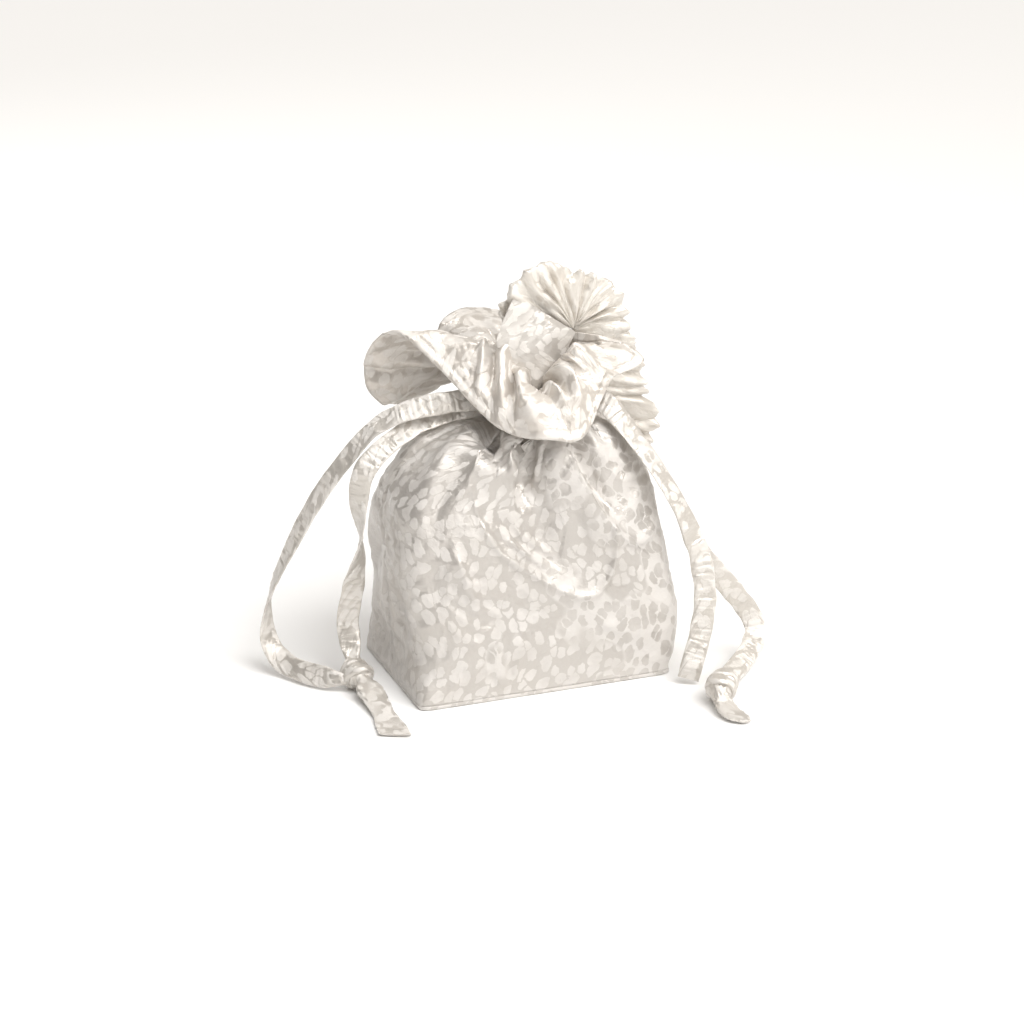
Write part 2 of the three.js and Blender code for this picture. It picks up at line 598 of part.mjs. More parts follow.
// The ruched strap: a padded band gathered into ribs that run across it.
function ruchedStrap() {
  const stations = strapStations();
  const inner_line = new THREE.CatmullRomCurve3(stations.map((station) => station.inner));
  const outer_line = new THREE.CatmullRomCurve3(stations.map((station) => station.outer));
  const rows = ruche_count * rows_per_ruche;
  const front = [];
  const back = [];
  for (let row = 0; row <= rows; row += 1) {
    const along = row / rows;
    const inner = inner_line.getPoint(along);
    const outer = outer_line.getPoint(along);
    const rib = Math.sin(2 * Math.PI * ruche_count * along) * Math.min(1, row, rows - row);
    const front_row = [];
    const back_row = [];
    for (let i = 0; i <= strap_columns; i += 1) {
      const share = i / strap_columns;
      const scallop = rib * ruche_depth / 2 * share;
      const across = outer.clone().sub(inner).normalize();
      const middle = inner.clone().lerp(outer, share).addScaledVector(across, scallop);
      const crown = Math.sin(Math.PI * share) ** padding_roundness;
      const padding = handle_thickness / 2 * THREE.MathUtils.lerp(edge_padding, 1, crown);
      const ripple = rib * ruche_depth / 2 * Math.sqrt(share);
      front_row.push(middle.clone().add(new THREE.Vector3(0, -padding - ripple, 0)));
      back_row.push(middle.clone().add(new THREE.Vector3(0, padding - ripple, 0)));
    }
    front.push(front_row);
    back.push(back_row);
  }
  return closedSheet(back, front);
}

// A path whose frames keep a ribbon's face towards one side, turned by the route's own angles.
class RibbonPath extends THREE.CatmullRomCurve3 {
  constructor(route) {
    super(route.map(([x, y, z]) => new THREE.Vector3(x, y, z)));
    this.turns = route.map((row) => row[3]);
  }

  computeFrenetFrames(steps) {
    const tangents = [];
    const normals = [];
    const binormals = [];
    for (let i = 0; i <= steps; i += 1) {
      const share = i / steps;
      const tangent = this.getTangentAt(share);
      const place = this.getUtoTmapping(share) * (this.turns.length - 1);
      const index = Math.min(Math.floor(place), this.turns.length - 2);
      const turn = THREE.MathUtils.lerp(this.turns[index], this.turns[index + 1], place - index);
      const across = new THREE.Vector3().crossVectors(tangent, camera_side).normalize();
      across.applyAxisAngle(tangent, THREE.MathUtils.degToRad(turn));
      tangents.push(tangent);
      normals.push(across);
      binormals.push(new THREE.Vector3().crossVectors(tangent, across));
    }
    return { tangents, normals, binormals };
  }
}

// One free strand of a drawstring: a flat tube of sewn ribbon.
function ribbonStrand(route) {
  const half = ribbon_width / 2;
  const edge = ribbon_thickness / 2;
  const section = new THREE.Shape([
    new THREE.Vector2(half, -edge / 2), new THREE.Vector2(half, edge / 2),
    new THREE.Vector2(half - edge, edge), new THREE.Vector2(edge - half, edge),
    new THREE.Vector2(-half, edge / 2), new THREE.Vector2(-half, -edge / 2),
    new THREE.Vector2(edge - half, -edge), new THREE.Vector2(half - edge, -edge),
  ]);
  const path = new RibbonPath(route);
  const steps = Math.ceil(path.getLength() / (ribbon_width * ribbon_step));
  return new THREE.ExtrudeGeometry(section, { steps, extrudePath: path, bevelEnabled: false });
}

// A pulled knot and the tail beyond it: ovals along the route, closed at both ends.
function knotWithTail(route) {
  const line = new THREE.CatmullRomCurve3(route.map(([x, y, z]) => new THREE.Vector3(x, y, z)));
  const rings = route.map((row, n) => {
    const tangent = line.getTangent(n / (route.length - 1));
    const across = new THREE.Vector3(-tangent.y, tangent.x, 0).normalize();
    const up = new THREE.Vector3().crossVectors(tangent, across);
    const ring = [];
    for (let i = 0; i < knot_sides; i += 1) {
      const angle = 2 * Math.PI * i / knot_sides;
      const point = new THREE.Vector3(row[0], row[1], row[2]);
      point.addScaledVector(across, Math.cos(angle) * row[3] * knot_width / 2);
      point.addScaledVector(up, Math.sin(angle) * row[4] * knot_width / 2);
      ring.push(point);
    }
    return ring;
  });
  const first = line.getPoint(0);
  const last = line.getPoint(1);
  return closedTray(first, rings, last);
}

function addPiece(group, name, geometry, material) {
  const piece = new THREE.Mesh(geometry, material);
  piece.name = name;
  group.add(piece);
}

const bag = new THREE.Group();
const wall_directions = wallDirections(front_columns, side_columns, back_columns);
addPiece(bag, 'base_panel', basePanel(wall_directions), silk_base);
addPiece(bag, 'pouch_body', pouchBody(wall_directions), silk);
addPiece(bag, 'drawstring_casing', drawstringCasing(wall_directions), silk);
addPiece(bag, 'frill_collar', frillCollar(), silk);
addPiece(bag, 'handle_tab', handleTab(), silk);
addPiece(bag, 'handle_ruched', ruchedStrap(), silk_ruched);
addPiece(bag, 'strand_left_outer', ribbonStrand(left_outer_route), silk_ribbon);
addPiece(bag, 'strand_left_inner', ribbonStrand(left_inner_route), silk_ribbon);
addPiece(bag, 'strand_right_short', ribbonStrand(right_short_route), silk_ribbon);
addPiece(bag, 'strand_right_long', ribbonStrand(right_long_route), silk_ribbon);
addPiece(bag, 'knot_left', knotWithTail(left_knot_route), silk_ribbon);
addPiece(bag, 'knot_right', knotWithTail(right_knot_route), silk_ribbon);

export default bag;
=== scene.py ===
"""A small silk drawstring handbag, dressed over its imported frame.

Sizes and points are in millimetres in the frame's own axes: +Z is up and the front faces -Y.
They become metres when a mesh is made.
"""
import math

import bpy
import numpy as np
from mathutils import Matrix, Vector


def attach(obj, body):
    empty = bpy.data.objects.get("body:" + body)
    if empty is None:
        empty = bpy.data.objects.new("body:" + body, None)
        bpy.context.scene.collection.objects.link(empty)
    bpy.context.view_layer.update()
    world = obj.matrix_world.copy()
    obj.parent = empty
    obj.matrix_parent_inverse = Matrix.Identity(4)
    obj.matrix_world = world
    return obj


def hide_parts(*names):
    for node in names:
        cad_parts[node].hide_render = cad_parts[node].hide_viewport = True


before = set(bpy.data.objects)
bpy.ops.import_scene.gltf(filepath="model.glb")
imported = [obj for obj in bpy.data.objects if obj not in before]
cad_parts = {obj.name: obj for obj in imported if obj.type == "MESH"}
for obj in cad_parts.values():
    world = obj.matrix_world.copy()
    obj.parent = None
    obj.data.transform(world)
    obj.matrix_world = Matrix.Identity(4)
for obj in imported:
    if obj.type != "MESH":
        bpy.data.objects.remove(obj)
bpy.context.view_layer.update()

MM = 0.001


def table(columns, *rows):
    """Rows of numbers, each made into a dictionary by its columns' names."""
    return [dict(zip(columns, row)) for row in rows]


# Silk: roughness and metallic of its ground and its spots, relief as shares of the bump's depth
SPOT_SIZE = 11.5
# Size of the painted sheen patches, where spots and ground trade colours so the ground looks lit by a
# reflection.
SHEEN_PATCH_SIZE = 60
ROUGHNESS = (0.30, 0.52)
METALLIC = (0.42, 0.08)
SHEEN = 0.15
SHEEN_ROUGHNESS = 0.5
SPECULAR = 0.7
WORN_TINT = (0.93, 0.90, 0.86, 1)
SPOT_RELIEF = 0.16
SLUB_RELIEF = 0.12
CREASE_RELIEF = -1.1
BUMP_DEPTH = 0.8

# Each silk's ground and spot colours, and its lean of painted sheen patches, where spots and ground trade
# colours, towards the cloth's right.
# These five are one silk. Their colours differ part by part as painted light: warmer on the frill for
# painted warm bounce light in its folds, and lighter or darker elsewhere to set how brightly each part looks
# lit.
SILKS = {
    "body_silk": ((0.53, 0.505, 0.478), (0.65, 0.627, 0.603), 2.2),
    "frill_silk": ((0.63, 0.59, 0.545), (0.735, 0.705, 0.67), 0.0),
    "tab_silk": ((0.575, 0.55, 0.52), (0.725, 0.70, 0.67), -2.0),
    "ruched_silk": ((0.70, 0.665, 0.615), (0.765, 0.735, 0.69), 0.0),
    "ribbon_silk": ((0.615, 0.585, 0.545), (0.74, 0.715, 0.685), 0.0),
}

# Floor and light, in metres and watts
FLOOR_SIZE = 120
FLOOR_COLOUR = (0.93, 0.93, 0.93, 1)
FLOOR_ROUGHNESS = 0.9
WORLD_COLOUR = (1.0, 0.94, 0.86, 1)
WORLD_LEFT = 0.11
WORLD_RIGHT = 0.72
KEY_POWER = 2.35
KEY_SPREAD = 48
KEY_COLOUR = (1.0, 0.99, 0.975)
KEY_HEADING = (-0.62, 1.0, -1.45)
LIGHT_TARGET = (0, 0, 0.14)
AREA_LIGHTS = table(
    ("name", "place", "size", "power"),
    ("front", (-0.1, -2.1, 0.75), (1.4, 1.0), 6.0),
    ("top", (-0.35, -0.7, 2.0), (1.6, 1.2), 14),
    ("back", (-0.35, 1.5, 1.4), (1.0, 0.5), 8),
)

# Camera at the photo's angle
CAMERA_PLACE = (-681.0, -1792.0, 824.8)
CAMERA_TARGET = (-3.39, 0.0, 126.1)
CAMERA_LENS = 91.4

# The way that the ribbons' flat sides face, before their own turns
CAMERA_SIDE = np.array([-0.33, -0.88, 0.34])
CAMERA_SIDE /= np.linalg.norm(CAMERA_SIDE)

# Pouch
BASE_WIDTH = 210
BASE_DEPTH = 142
BASE_SQUARENESS = 26
BASE_THICKNESS = 2.0
SEAM_HEIGHT = 7.5
POUCH_FOOT = 3.8
POUCH_TOP = 204
CLOTH_WALL = 1.6
SEAM_GAP = 0.3
SHOULDER_SWELL = 6.0
SIDE_DENT = 3.0

# Gathered neck
NECK_WIDTH = 78
NECK_DEPTH = 61
NECK_SQUARENESS = 2.1
NECK_SHIFT = 17
GATHER_COUNT = 16
GATHER_DEPTH = 3.2
GATHER_LENGTH = 42
CASING_HEIGHT = 22
CASING_SWELL = 2.5
NECK_HEIGHT = POUCH_TOP + SEAM_GAP + CASING_HEIGHT / 2

# Frill
FRILL_REACH = 96
FRILL_RISE = 60
FRILL_RIPPLE = 1.1
FRILL_LENGTH = 600
FRILL_DEPTH = 66
MOUTH_PLACE = (14, -12)
MOUTH_SIZE = (15, 10)
MOUTH_RISE = 3
MOUTH_SHARE = 0.14
FRILL_SEAM_TURN = 0.47
HEM_WIDTH = 7

# Handle
HANDLE_WIDTH = 46
HANDLE_THICKNESS = 7
HANDLE_DROP = 100
HANDLE_SIDE = 36
HANDLE_TILT = 0.35
HANDLE_FOOT = 0.8
HANDLE_SAG = 0.42
HANDLE_SEAT_TURN = 0.34
FAN_INSET = 2
FAN_BEHIND = 13
RUCHE_LENGTH = 16
RUCHE_DEPTH = 4.8
STRAP_LEAST = 1.2
TAB_LENGTH = 92
TAB_WIDTH = 62
TAB_THICKNESS = 3
TAB_FOOT_LEFT = 5
TAB_FOOT_DROP = 3
TAB_GAP = 0.45

# Drawstrings
RIBBON_WIDTH = 18
RIBBON_THICKNESS = 2.2
RIBBON_FINE_STEPS = 2000
KNOT_WIDTH = 23
KNOT_SHARE = 0.42
TAIL_SLANT = 0.3
BAND_HALF_WIDTH = 5.2
BAND_HALF_THICKNESS = 2.4
BAND_PLEAT = 0.5
BAND_SEAT = 0.86
KNOT_WRAPS = 0.13
SURFACE_REST = 0.4

# Bands tied round each knot: place along its route, lean and the side it leans to.
KNOT_BANDS = [(0.19, 0.45, 0.4), (0.29, -0.5, 1.3)]

# Cross-sections of the pouch: height is a share of the pouch, width and depth go from 1 at the base's
# size to 0 at the neck's, shift is a share of the neck's shift.
POUCH_SECTIONS = table(
    ("height", "width", "depth", "shift", "squareness"),
    (0, 1, 1, 0, 22),
    (0.08, 1.036, 1.01, 0.26, 13),
    (0.22, 1.08, 0.99, 0.4, 8),
    (0.45, 1.07, 0.905, 0.05, 5.5),
    (0.62, 1.04, 0.79, -0.08, 4.6),
    (0.76, 0.96, 0.64, -0.1, 3.8),
    (0.87, 0.79, 0.44, 0.02, 3.1),
    (0.95, 0.46, 0.19, 0.42, 2.5),
    (1, 0, 0, 1, 2.1),
)

FOLD_COLUMNS = ("rise", "left", "right", "crest", "line", "start", "end")
FADED = {"start": 0.1, "end": 0.1}

# Folds run along lines of x, z points. left and right are the fold's breadths to either side of the line as
# it runs, so one side can be steep, crest is how round its top is, and a rise below zero is a crease. start
# and end are its strength there, faded where they aren't given.
FOOT_FOLD = (1, 7, 3, 1.5, [(-104, 15), (-40, 12), (40, 12), (104, 15)], 0.4, 0.4)

# The front's U-shaped fold has a broad ridge and a narrow crest on one line.
U_LINE = [(-57, 174), (-52, 148), (-45, 131), (-33, 115), (-11, 99), (9, 85), (27, 77), (41, 79), (52, 93),
          (56, 112), (54, 128)]

FRONT_FOLDS = [
    (-20, 5, 8, 2.5, [(-25, 208), (-30, 197), (-33, 187)], 1, 0.4),
    (11, 5, 5, 4, [(-14, 208), (-18, 195), (-20, 182), (-20, 166)], 1, 0),
    (5.5, 4, 14, 2, [(-66, 188), (-50, 187), (-38, 181), (-29, 178), (-22, 181)], 0.2, 0.6),
    (-12, 14, 2.2, 1.2, [(-8, 208), (-13, 182), (-18, 162), (-17, 144)], 1),
    (-7, 11, 8, 4, [(-10, 182), (-6, 158), (-1, 135), (2, 112)], 0.6, 0.2),
    (3, 6, 6, 2, [(3, 208), (4, 190), (10, 168)], 1, 0),
    (9.5, 2.4, 22, 1.2, [(20, 203), (25, 185), (36, 158), (47, 138), (60, 122), (70, 114)], 1, 0.5),
    (-8, 11, 4, 2, [(29, 204), (37, 176), (49, 153), (63, 133)], 1),
    (4.6, 18, 12, 5, [(52, 204), (70, 180), (86, 158)], 1, 0.2),
    (3.4, 9, 3, 1.5, [(58, 123), (72, 113), (84, 114), (94, 126), (98, 142), (95, 162)], 0.4),
    (2.3, 11, 17, 3, U_LINE, 0.3, 0.4),
    (3.4, 2.6, 3.2, 0.5, U_LINE, 0.3, 0.9),
    (-5.5, 15, 13, 6, [(-34, 150), (-14, 124), (8, 107), (22, 106)], 0.4, 0.2),
    (2.6, 2.4, 3, 0.6, [(-40, 140), (-22, 121), (-3, 107), (14, 96)], 0.2, 0.2),
    (1.9, 2.2, 2.8, 0.6, [(-33, 148), (-14, 127), (4, 113), (18, 106)], 0.1, 0.2),
    (1.6, 2, 2.6, 0.6, [(-32, 131), (-14, 113), (6, 98)]),
    (-2.4, 5, 6, 2, [(22, 150), (30, 128), (31, 108)]),
    (4.6, 4, 8, 1.4, [(-74, 132), (-68, 108), (-60, 86), (-55, 66)]),
    (2.2, 4, 6, 1.5, [(-90, 92), (-76, 76), (-58, 62), (-40, 50)]),
    (1.8, 4, 5, 1.5, [(-84, 70), (-66, 54), (-50, 40)]),
    (-2, 6, 7, 3, [(-92, 124), (-88, 96), (-80, 66)]),
    (8, 9, 9, 2, [(-38, 204), (-64, 192), (-88, 171), (-99, 146)], 0.7, 0.2),
    (-4.6, 4, 5, 2, [(-42, 196), (-66, 178), (-82, 156), (-90, 132)], 0.6),
    (2.6, 4, 5, 1.5, [(-42, 189), (-58, 172), (-70, 152)], 0.5),
    (2.4, 6, 12, 3, [(70, 100), (76, 76), (68, 46)]),
    (2, 3, 4, 1.2, [(97, 120), (99, 96), (98, 70)]),
    (1.8, 12, 14, 5, [(-60, 50), (-20, 42), (30, 38)]),
    (2.2, 5, 5, 1.5, [(36, 60), (56, 46), (84, 36)]),
    FOOT_FOLD,
]

BACK_FOLDS = [
    (-10, 6, 13, 2, [(-24, 208), (-34, 180), (-50, 150), (-58, 125)], 1),
    (6, 12, 10, 5, [(-4, 208), (-12, 178), (-26, 150), (-30, 128)], 1),
    (-10, 9, 7, 2, [(10, 208), (8, 176), (0, 140), (-4, 112)], 1),
    (6.5, 9, 11, 3, [(26, 208), (34, 180), (40, 150), (38, 126)], 1),
    (-9, 11, 6, 2, [(42, 204), (54, 180), (68, 152), (72, 128)], 1),
    (3.4, 14, 17, 6, [(-58, 110), (-30, 84), (10, 78), (44, 90), (62, 114)], 0.2, 0.2),
    (2.6, 10, 10, 3, [(80, 130), (76, 100), (70, 70)]),
    (3, 9, 9, 3, [(-80, 140), (-78, 105), (-70, 70)]),
    (2.2, 4, 6, 1.5, [(-90, 92), (-70, 70), (-44, 52)]),
    (1.8, 14, 14, 5, [(-60, 50), (0, 42), (60, 52)]),
    FOOT_FOLD,
]

# The frill round the neck. angle is in degrees from the front towards the right. Each waypoint has its
# distance from the neck's axis and its height above the casing's middle, half way along and at the hem.
FRILL_STATIONS = table(
    ("angle", "half_reach", "half_rise", "reach", "rise"),
    (-10.7, 0.49, 0.46, 0.74, -0.15),
    (-32.7, 0.47, 0.46, 0.67, -0.15),
    (-50.7, 0.45, 0.48, 0.64, -0.06),
    (-70.7, 0.45, 0.54, 0.66, 0.15),
    (-86.7, 0.45, 0.66, 0.73, 0.38),
    (-100.7, 0.47, 0.8, 0.91, 0.7),
    (-110.7, 0.5, 0.82, 1.15, 0.95),
    (-116.7, 0.58, 0.72, 1.33, 0.7),
    (-120.2, 0.68, 0.53, 1.43, 0.32),
    (-124.2, 0.68, 0.36, 1.4, -0.07),
    (-129.7, 0.64, 0.26, 1.24, -0.25),
    (-137.7, 0.57, 0.27, 1.02, -0.1),
    (-145.7, 0.52, 0.52, 0.96, 0.45),
    (-154.7, 0.52, 0.7, 0.98, 0.76),
    (-171.7, 0.54, 0.74, 0.98, 0.86),
    (-184.7, 0.52, 0.64, 0.95, 0.7),
    (-192.7, 0.5, 0.38, 0.88, 0.17),
    (-200.7, 0.49, 0.3, 0.84, -0.1),
    (-211.7, 0.51, 0.42, 0.82, 0.18),
    (-224.7, 0.52, 0.56, 0.84, 0.52),
    (-238.7, 0.46, 0.56, 0.62, 0.62),
    (-249.7, 0.38, 0.5, 0.35, 0.72),
    (-260.7, 0.36, 0.5, 0.31, 0.8),
    (-271.7, 0.37, 0.54, 0.36, 0.86),
    (-283.7, 0.44, 0.64, 0.62, 0.78),
    (-293.7, 0.48, 0.66, 0.86, 0.58),
    (-304.7, 0.48, 0.52, 0.69, 0.44),
    (-314.7, 0.48, 0.5, 0.66, 0.44),
    (-325.7, 0.47, 0.42, 0.63, 0.2),
    (-341.7, 0.48, 0.44, 0.68, -0.05),
    (-356.7, 0.5, 0.46, 0.76, -0.18),
)

# Pulls that shape the frill: place round it and out from the neck, breadths of each, and x, y, z.
FRILL_PULLS = [
    (374, 23, 26, 13, (6, 8, 17)),
    (270, 23, 20, 13, (-7, 6, 15)),
    (238, 26, 18, 14, (-8, 2, 12)),
    (571, 60, 30, 20, (-7, 0, 1)),
    (226, 34, 20, 13, (-11, 0, 15)),
]

# Folds of the frill along lines of places on its cloth: round the frill from its back, and out from the
# neck. The columns are those of the pouch's folds.
FRILL_FOLDS = [
    (5.5, 3, 3, 1.2, [(378, 56), (386, 44), (395, 37), (410, 32), (426, 28)], 0.4, 0.2),
    (-5.5, 4, 5, 2, [(370, 50), (376, 37), (388, 29), (404, 22)], 0.8, 0.2),
    (6, 7, 4, 1.5, [(354, 14), (345, 32), (337, 46), (329, 56), (322, 70)], 0.7, 0.2),
    (-5.5, 5, 5, 2, [(362, 16), (354, 32), (346, 47), (341, 60)], 1),
    (4.5, 4, 5, 1.5, [(374, 16), (366, 34), (359, 48), (356, 60)], 1, 0.2),
    (-10, 8, 8, 3, [(328, 14), (323, 32), (316, 45), (309, 58)], 1, 0.2),
    (4.5, 3, 3, 1.2, [(319, 22), (313, 32), (303, 40)], 0.8, 0.2),
    (-6.5, 5, 6, 2, [(304, 18), (299, 34), (297, 50)], 1),
    (6, 5, 6, 1.5, [(290, 16), (285, 32), (290, 48), (296, 64)], 0.8),
    (-5, 5, 5, 2, [(276, 16), (271, 32), (272, 46)], 1),
    (5, 5, 5, 2, [(262, 14), (256, 28), (254, 40)], 1),
    (-4.5, 6, 6, 2, [(246, 14), (238, 28), (232, 44)], 1),
    (4, 8, 8, 3, [(400, 26), (408, 42), (416, 58)], 0.2, 0.2),
    (-5, 9, 3, 1, [(420, 22), (432, 42), (440, 60)], 0.4, 0.6),
    (4.5, 4, 7, 1.2, [(446, 20), (456, 40), (462, 58)], 0.4, 0.4),
    (-4.5, 7, 8, 2, [(474, 16), (480, 34), (484, 54)], 0.8, 0.2),
    (4.5, 6, 7, 2, [(498, 16), (500, 40), (506, 66)], 0.8, 0.2),
    (-5, 6, 6, 2, [(524, 14), (528, 36), (532, 60)], 1),
    (5, 6, 6, 2, [(552, 14), (554, 36), (558, 58)], 1, 0.2),
    (-5, 6, 6, 2, [(576, 14), (576, 36), (578, 56)], 1),
    (6, 3, 6, 1, [(492, 34), (486, 46), (480, 58), (476, 66)], 0.6, 0.8),
    (-5, 6, 3, 1, [(494, 40), (500, 52), (504, 66)], 0.6, 0.8),
    (4, 3, 6, 1, [(476, 38), (468, 50), (462, 62)], 0.5, 0.5),
    (5, 7, 7, 2, [(20, 14), (22, 40), (24, 62)], 1),
    (-5, 7, 7, 2, [(48, 14), (52, 36), (56, 60)], 1),
    (5, 7, 7, 2, [(80, 14), (84, 36), (90, 58)], 1),
    (-5, 7, 7, 2, [(114, 14), (118, 34), (124, 52)], 1),
    (4.5, 6, 6, 2, [(146, 14), (150, 32), (154, 46)], 1),
    (-4.5, 6, 6, 2, [(176, 14), (180, 34), (186, 52)], 1),
    (4.5, 6, 6, 2, [(208, 14), (210, 34), (212, 56)], 1),
]

# The smooth tab from its narrow end in the mouth up to its slanted seam, as shares of its size.
TAB_ROWS = table(
    ("place", "left_x", "left_z", "right_x", "right_z", "y"),
    (0, -0.12, 0, 0.12, 0, -0.24),
    (0.17, -0.15, 0.17, 0.13, 0.17, -0.24),
    (0.38, -0.28, 0.38, 0.27, 0.37, -0.23),
    (0.56, -0.52, 0.59, 0.4, 0.49, -0.2),
    (0.7, -0.47, 0.73, 0.47, 0.56, -0.18),
    (0.85, -0.37, 0.87, 0.52, 0.6, -0.15),
    (1, -0.25, 1, 0.55, 0.625, -0.12),
)

# Breadth of the ruched strap through its fan, and where it hangs after that.
FAN_ROWS = table(
    ("turn", "breadth"),
    (-0.2, 1.18),
    (-0.1, 1.27),
    (0, 1.31),
    (0.1, 1.38),
    (0.18, 1.34),
    (0.27, 1.17),
    (0.37, 0.99),
    (0.5, 0.91),
    (0.7, 0.96),
    (1, 1),
)
HANG_ROWS = table(
    ("across", "drop", "back", "breadth"),
    (0, 0, 0.1, 1),
    (0.17, 0.15, 0.15, 1.04),
    (0.36, 0.34, 0.2, 1.09),
    (0.55, 0.58, 0.27, 1.12),
    (0.92, 0.82, 0.36, 1.08),
)

# Drawstring strands: x, y, z of the ribbon's middle line and its turn in degrees.
STRAND_ROUTES = {
    "strand_left_outer": [
        (-26.4, 1, 221, 0), (-33, 2, 221.5, 0), (-61, 4, 220.5, 0), (-86.4, 12, 214.5, 25),
        (-109.6, 21, 200.6, 42), (-133, 26, 174.2, 40), (-153, 29, 147, 40), (-170, 38, 112, 48),
        (-185, 48, 74, 72), (-190, 52, 46, 108), (-190, 46, 25, 145), (-183, 32, 12.5, 180),
        (-172, 12, 10.5, 180), (-160, -3, 10.5, 180), (-150, -10.4, 10.5, 180), (-141, -12, 11.5, 180),
    ],
    "strand_left_inner": [
        (-22.7, 9, 213.4, 0), (-35, 9, 213.4, 0), (-66, 11, 208, 15), (-93.5, 6, 197.5, 30),
        (-113, 1, 186.5, 12), (-125, 0, 172, 5), (-128, 4, 147, 30), (-127, 4, 113.6, 95),
        (-131.5, 9, 79.2, 160), (-136, 12, 50.8, 180), (-136.5, 7, 36, 180), (-137, -1.8, 22.9, 180),
        (-137, -7, 14, 180),
    ],
    "strand_right_short": [
        (59, -18.6, 219, 0), (66, -28, 213.5, -15), (79, -43, 194, -40), (95.5, -58, 167, -44),
        (110.5, -68, 138, -42), (121.5, -73, 110.2, -24), (126, -77, 90, 0), (126.5, -83, 66, 0),
        (121, -88, 40, 0), (112.5, -93, 18, 0), (108, -95, 5, 0),
    ],
    "strand_right_long": [
        (62.6, -10.9, 217, 0), (70, -20, 211, -15), (82.5, -36, 192, -40), (98.7, -51.2, 165, -44),
        (113.5, -61.2, 135.5, -42), (123, -66.5, 110, -24), (133, -66, 92, 0), (147, -62, 76, 0),
        (166.5, -57, 52.5, 0), (178.5, -56, 36, 0), (181.5, -62, 24.5, 0), (173, -74, 16, 0),
        (159, -88, 11.5, 0), (145, -102, 10.5, 0), (129.5, -118.6, 11.3, 0), (122, -128, 12, 0),
    ],
}

# Knots with their tails: middle line, and breadth and thickness as shares of the knot's width.
KNOT_ROUTES = {
    "knot_left": [
        (-138, 5, 13, 0.3, 0.3), (-137.5, 0, 12.5, 0.86, 0.78), (-137, -8, 12.2, 1, 0.96),
        (-135.5, -16, 11.6, 0.92, 0.88), (-134.5, -22, 10, 0.6, 0.55), (-133.5, -33, 8.2, 0.92, 0.36),
        (-133, -50, 5, 0.84, 0.2), (-133.5, -70, 2.8, 0.78, 0.14), (-135, -90, 2.4, 0.96, 0.12),
        (-137, -106, 2.2, 1.02, 0.1),
    ],
    "knot_right": [
        (129, -119.2, 11.8, 0.3, 0.3), (124, -125, 12.4, 0.86, 0.8), (119, -132, 12.2, 1, 0.96),
        (115, -139, 11.6, 0.92, 0.86), (113.5, -144, 10, 0.62, 0.55), (113, -150, 7, 0.66, 0.3),
        (113.5, -160, 4.2, 0.78, 0.18), (116, -170, 2.8, 0.74, 0.14), (119, -178, 2.3, 0.3, 0.1),
    ],
}


def add_object(name, data):
    piece = bpy.data.objects.new(name, data)
    bpy.context.scene.collection.objects.link(piece)
    return piece


# Camera

def make_camera():
    data = bpy.data.cameras.new("photo_camera")
    data.lens = CAMERA_LENS
    camera = add_object("photo_camera", data)
    camera.location = Vector(CAMERA_PLACE) * MM
    view = Vector(CAMERA_TARGET) - Vector(CAMERA_PLACE)
    camera.rotation_euler = view.to_track_quat("-Z", "Y").to_euler()
    bpy.context.scene.camera = camera


# Curves and tables

def smoothstep(value, low, high):
    t = np.clip((value - low) / (high - low), 0, 1)
    return t * t * (3 - 2 * t)


def column(rows, key, place_key, places):
    """One column of a table at places between its rows, on a smooth curve through them."""
    x = np.array([row[place_key] for row in rows], float)
    y = np.array([row[key] for row in rows], float)
    before = np.maximum(np.arange(len(x)) - 1, 0)
    after = np.minimum(np.arange(len(x)) + 1, len(x) - 1)
    slope = (y[after] - y[before]) / (x[after] - x[before])
    i = np.clip(np.searchsorted(x, places, side="right") - 1, 0, len(x) - 2)
    step = x[i + 1] - x[i]
    t = np.clip((places - x[i]) / step, 0, 1)
    t2 = t * t
    t3 = t2 * t
    return (y[i] * (2 * t3 - 3 * t2 + 1) + slope[i] * step * (t3 - 2 * t2 + t)
            + y[i + 1] * (3 * t2 - 2 * t3) + slope[i + 1] * step * (t3 - t2))


def between(p0, p1, p2, p3, t):
    """A place between the second and the third of four points, on the smooth curve through them."""
    return 0.5 * (2 * p1 + (p2 - p0) * t + (2 * p0 - 5 * p1 + 4 * p2 - p3) * t ** 2
                  + (3 * p1 - p0 - 3 * p2 + p3) * t ** 3)


def through_points(points, places, closed=False):
    """A smooth curve through points. places go from 0 to 1, or once round where it is closed."""
    points = np.asarray(points, float)
    count = len(points)
    spans = count if closed else count - 1
    place = np.asarray(places) * spans
    i = np.clip(np.floor(place).astype(int), 0, spans - 1)
    t = (place - i)[..., None]

    def at(n):
        if closed:
            return points[n % count]
        low = 2 * points[0] - points[1]
        high = 2 * points[-1] - points[-2]
        inner = points[np.clip(n, 0, count - 1)]
        inner = np.where((n < 0)[..., None], low, inner)
        return np.where((n >= count)[..., None], high, inner)

    return between(at(i - 1), at(i), at(i + 1), at(i + 2), t)


def crinkle(points, length, seed, waves=18):
    """A random smooth ripple of about -1 to 1 whose waves are about length long."""
    rng = np.random.default_rng(seed)
    total = np.zeros(points.shape[:-1])
    for _ in range(waves):
        heading = rng.normal(size=points.shape[-1])
        heading /= np.linalg.norm(heading)
        wave = length * rng.uniform(0.65, 1.5)
        phase = rng.uniform(0, 2 * math.pi)
        total += np.sin(2 * math.pi * (points @ heading) / wave + phase)
    return total / math.sqrt(waves)


def creased(points, length, seed):
    """A crinkle with soft hollows and narrow crests, as crumpled silk has."""
    warp = crinkle(points, length * 2.5, seed + 101)[..., None] * length * 0.3
    return 1 - 2 * np.sqrt(crinkle(points + warp, length, seed) ** 2 + 0.02)


def rippled(points, *layers):
    """A sum of ripples, each given by its height, kind, wave length and seed."""
    return sum(height * kind(points, length, seed) for height, kind, length, seed in layers)


def plane(*coordinates):
    """Points made of separate coordinates."""
    return np.stack(np.broadcast_arrays(*coordinates), axis=-1).astype(float)


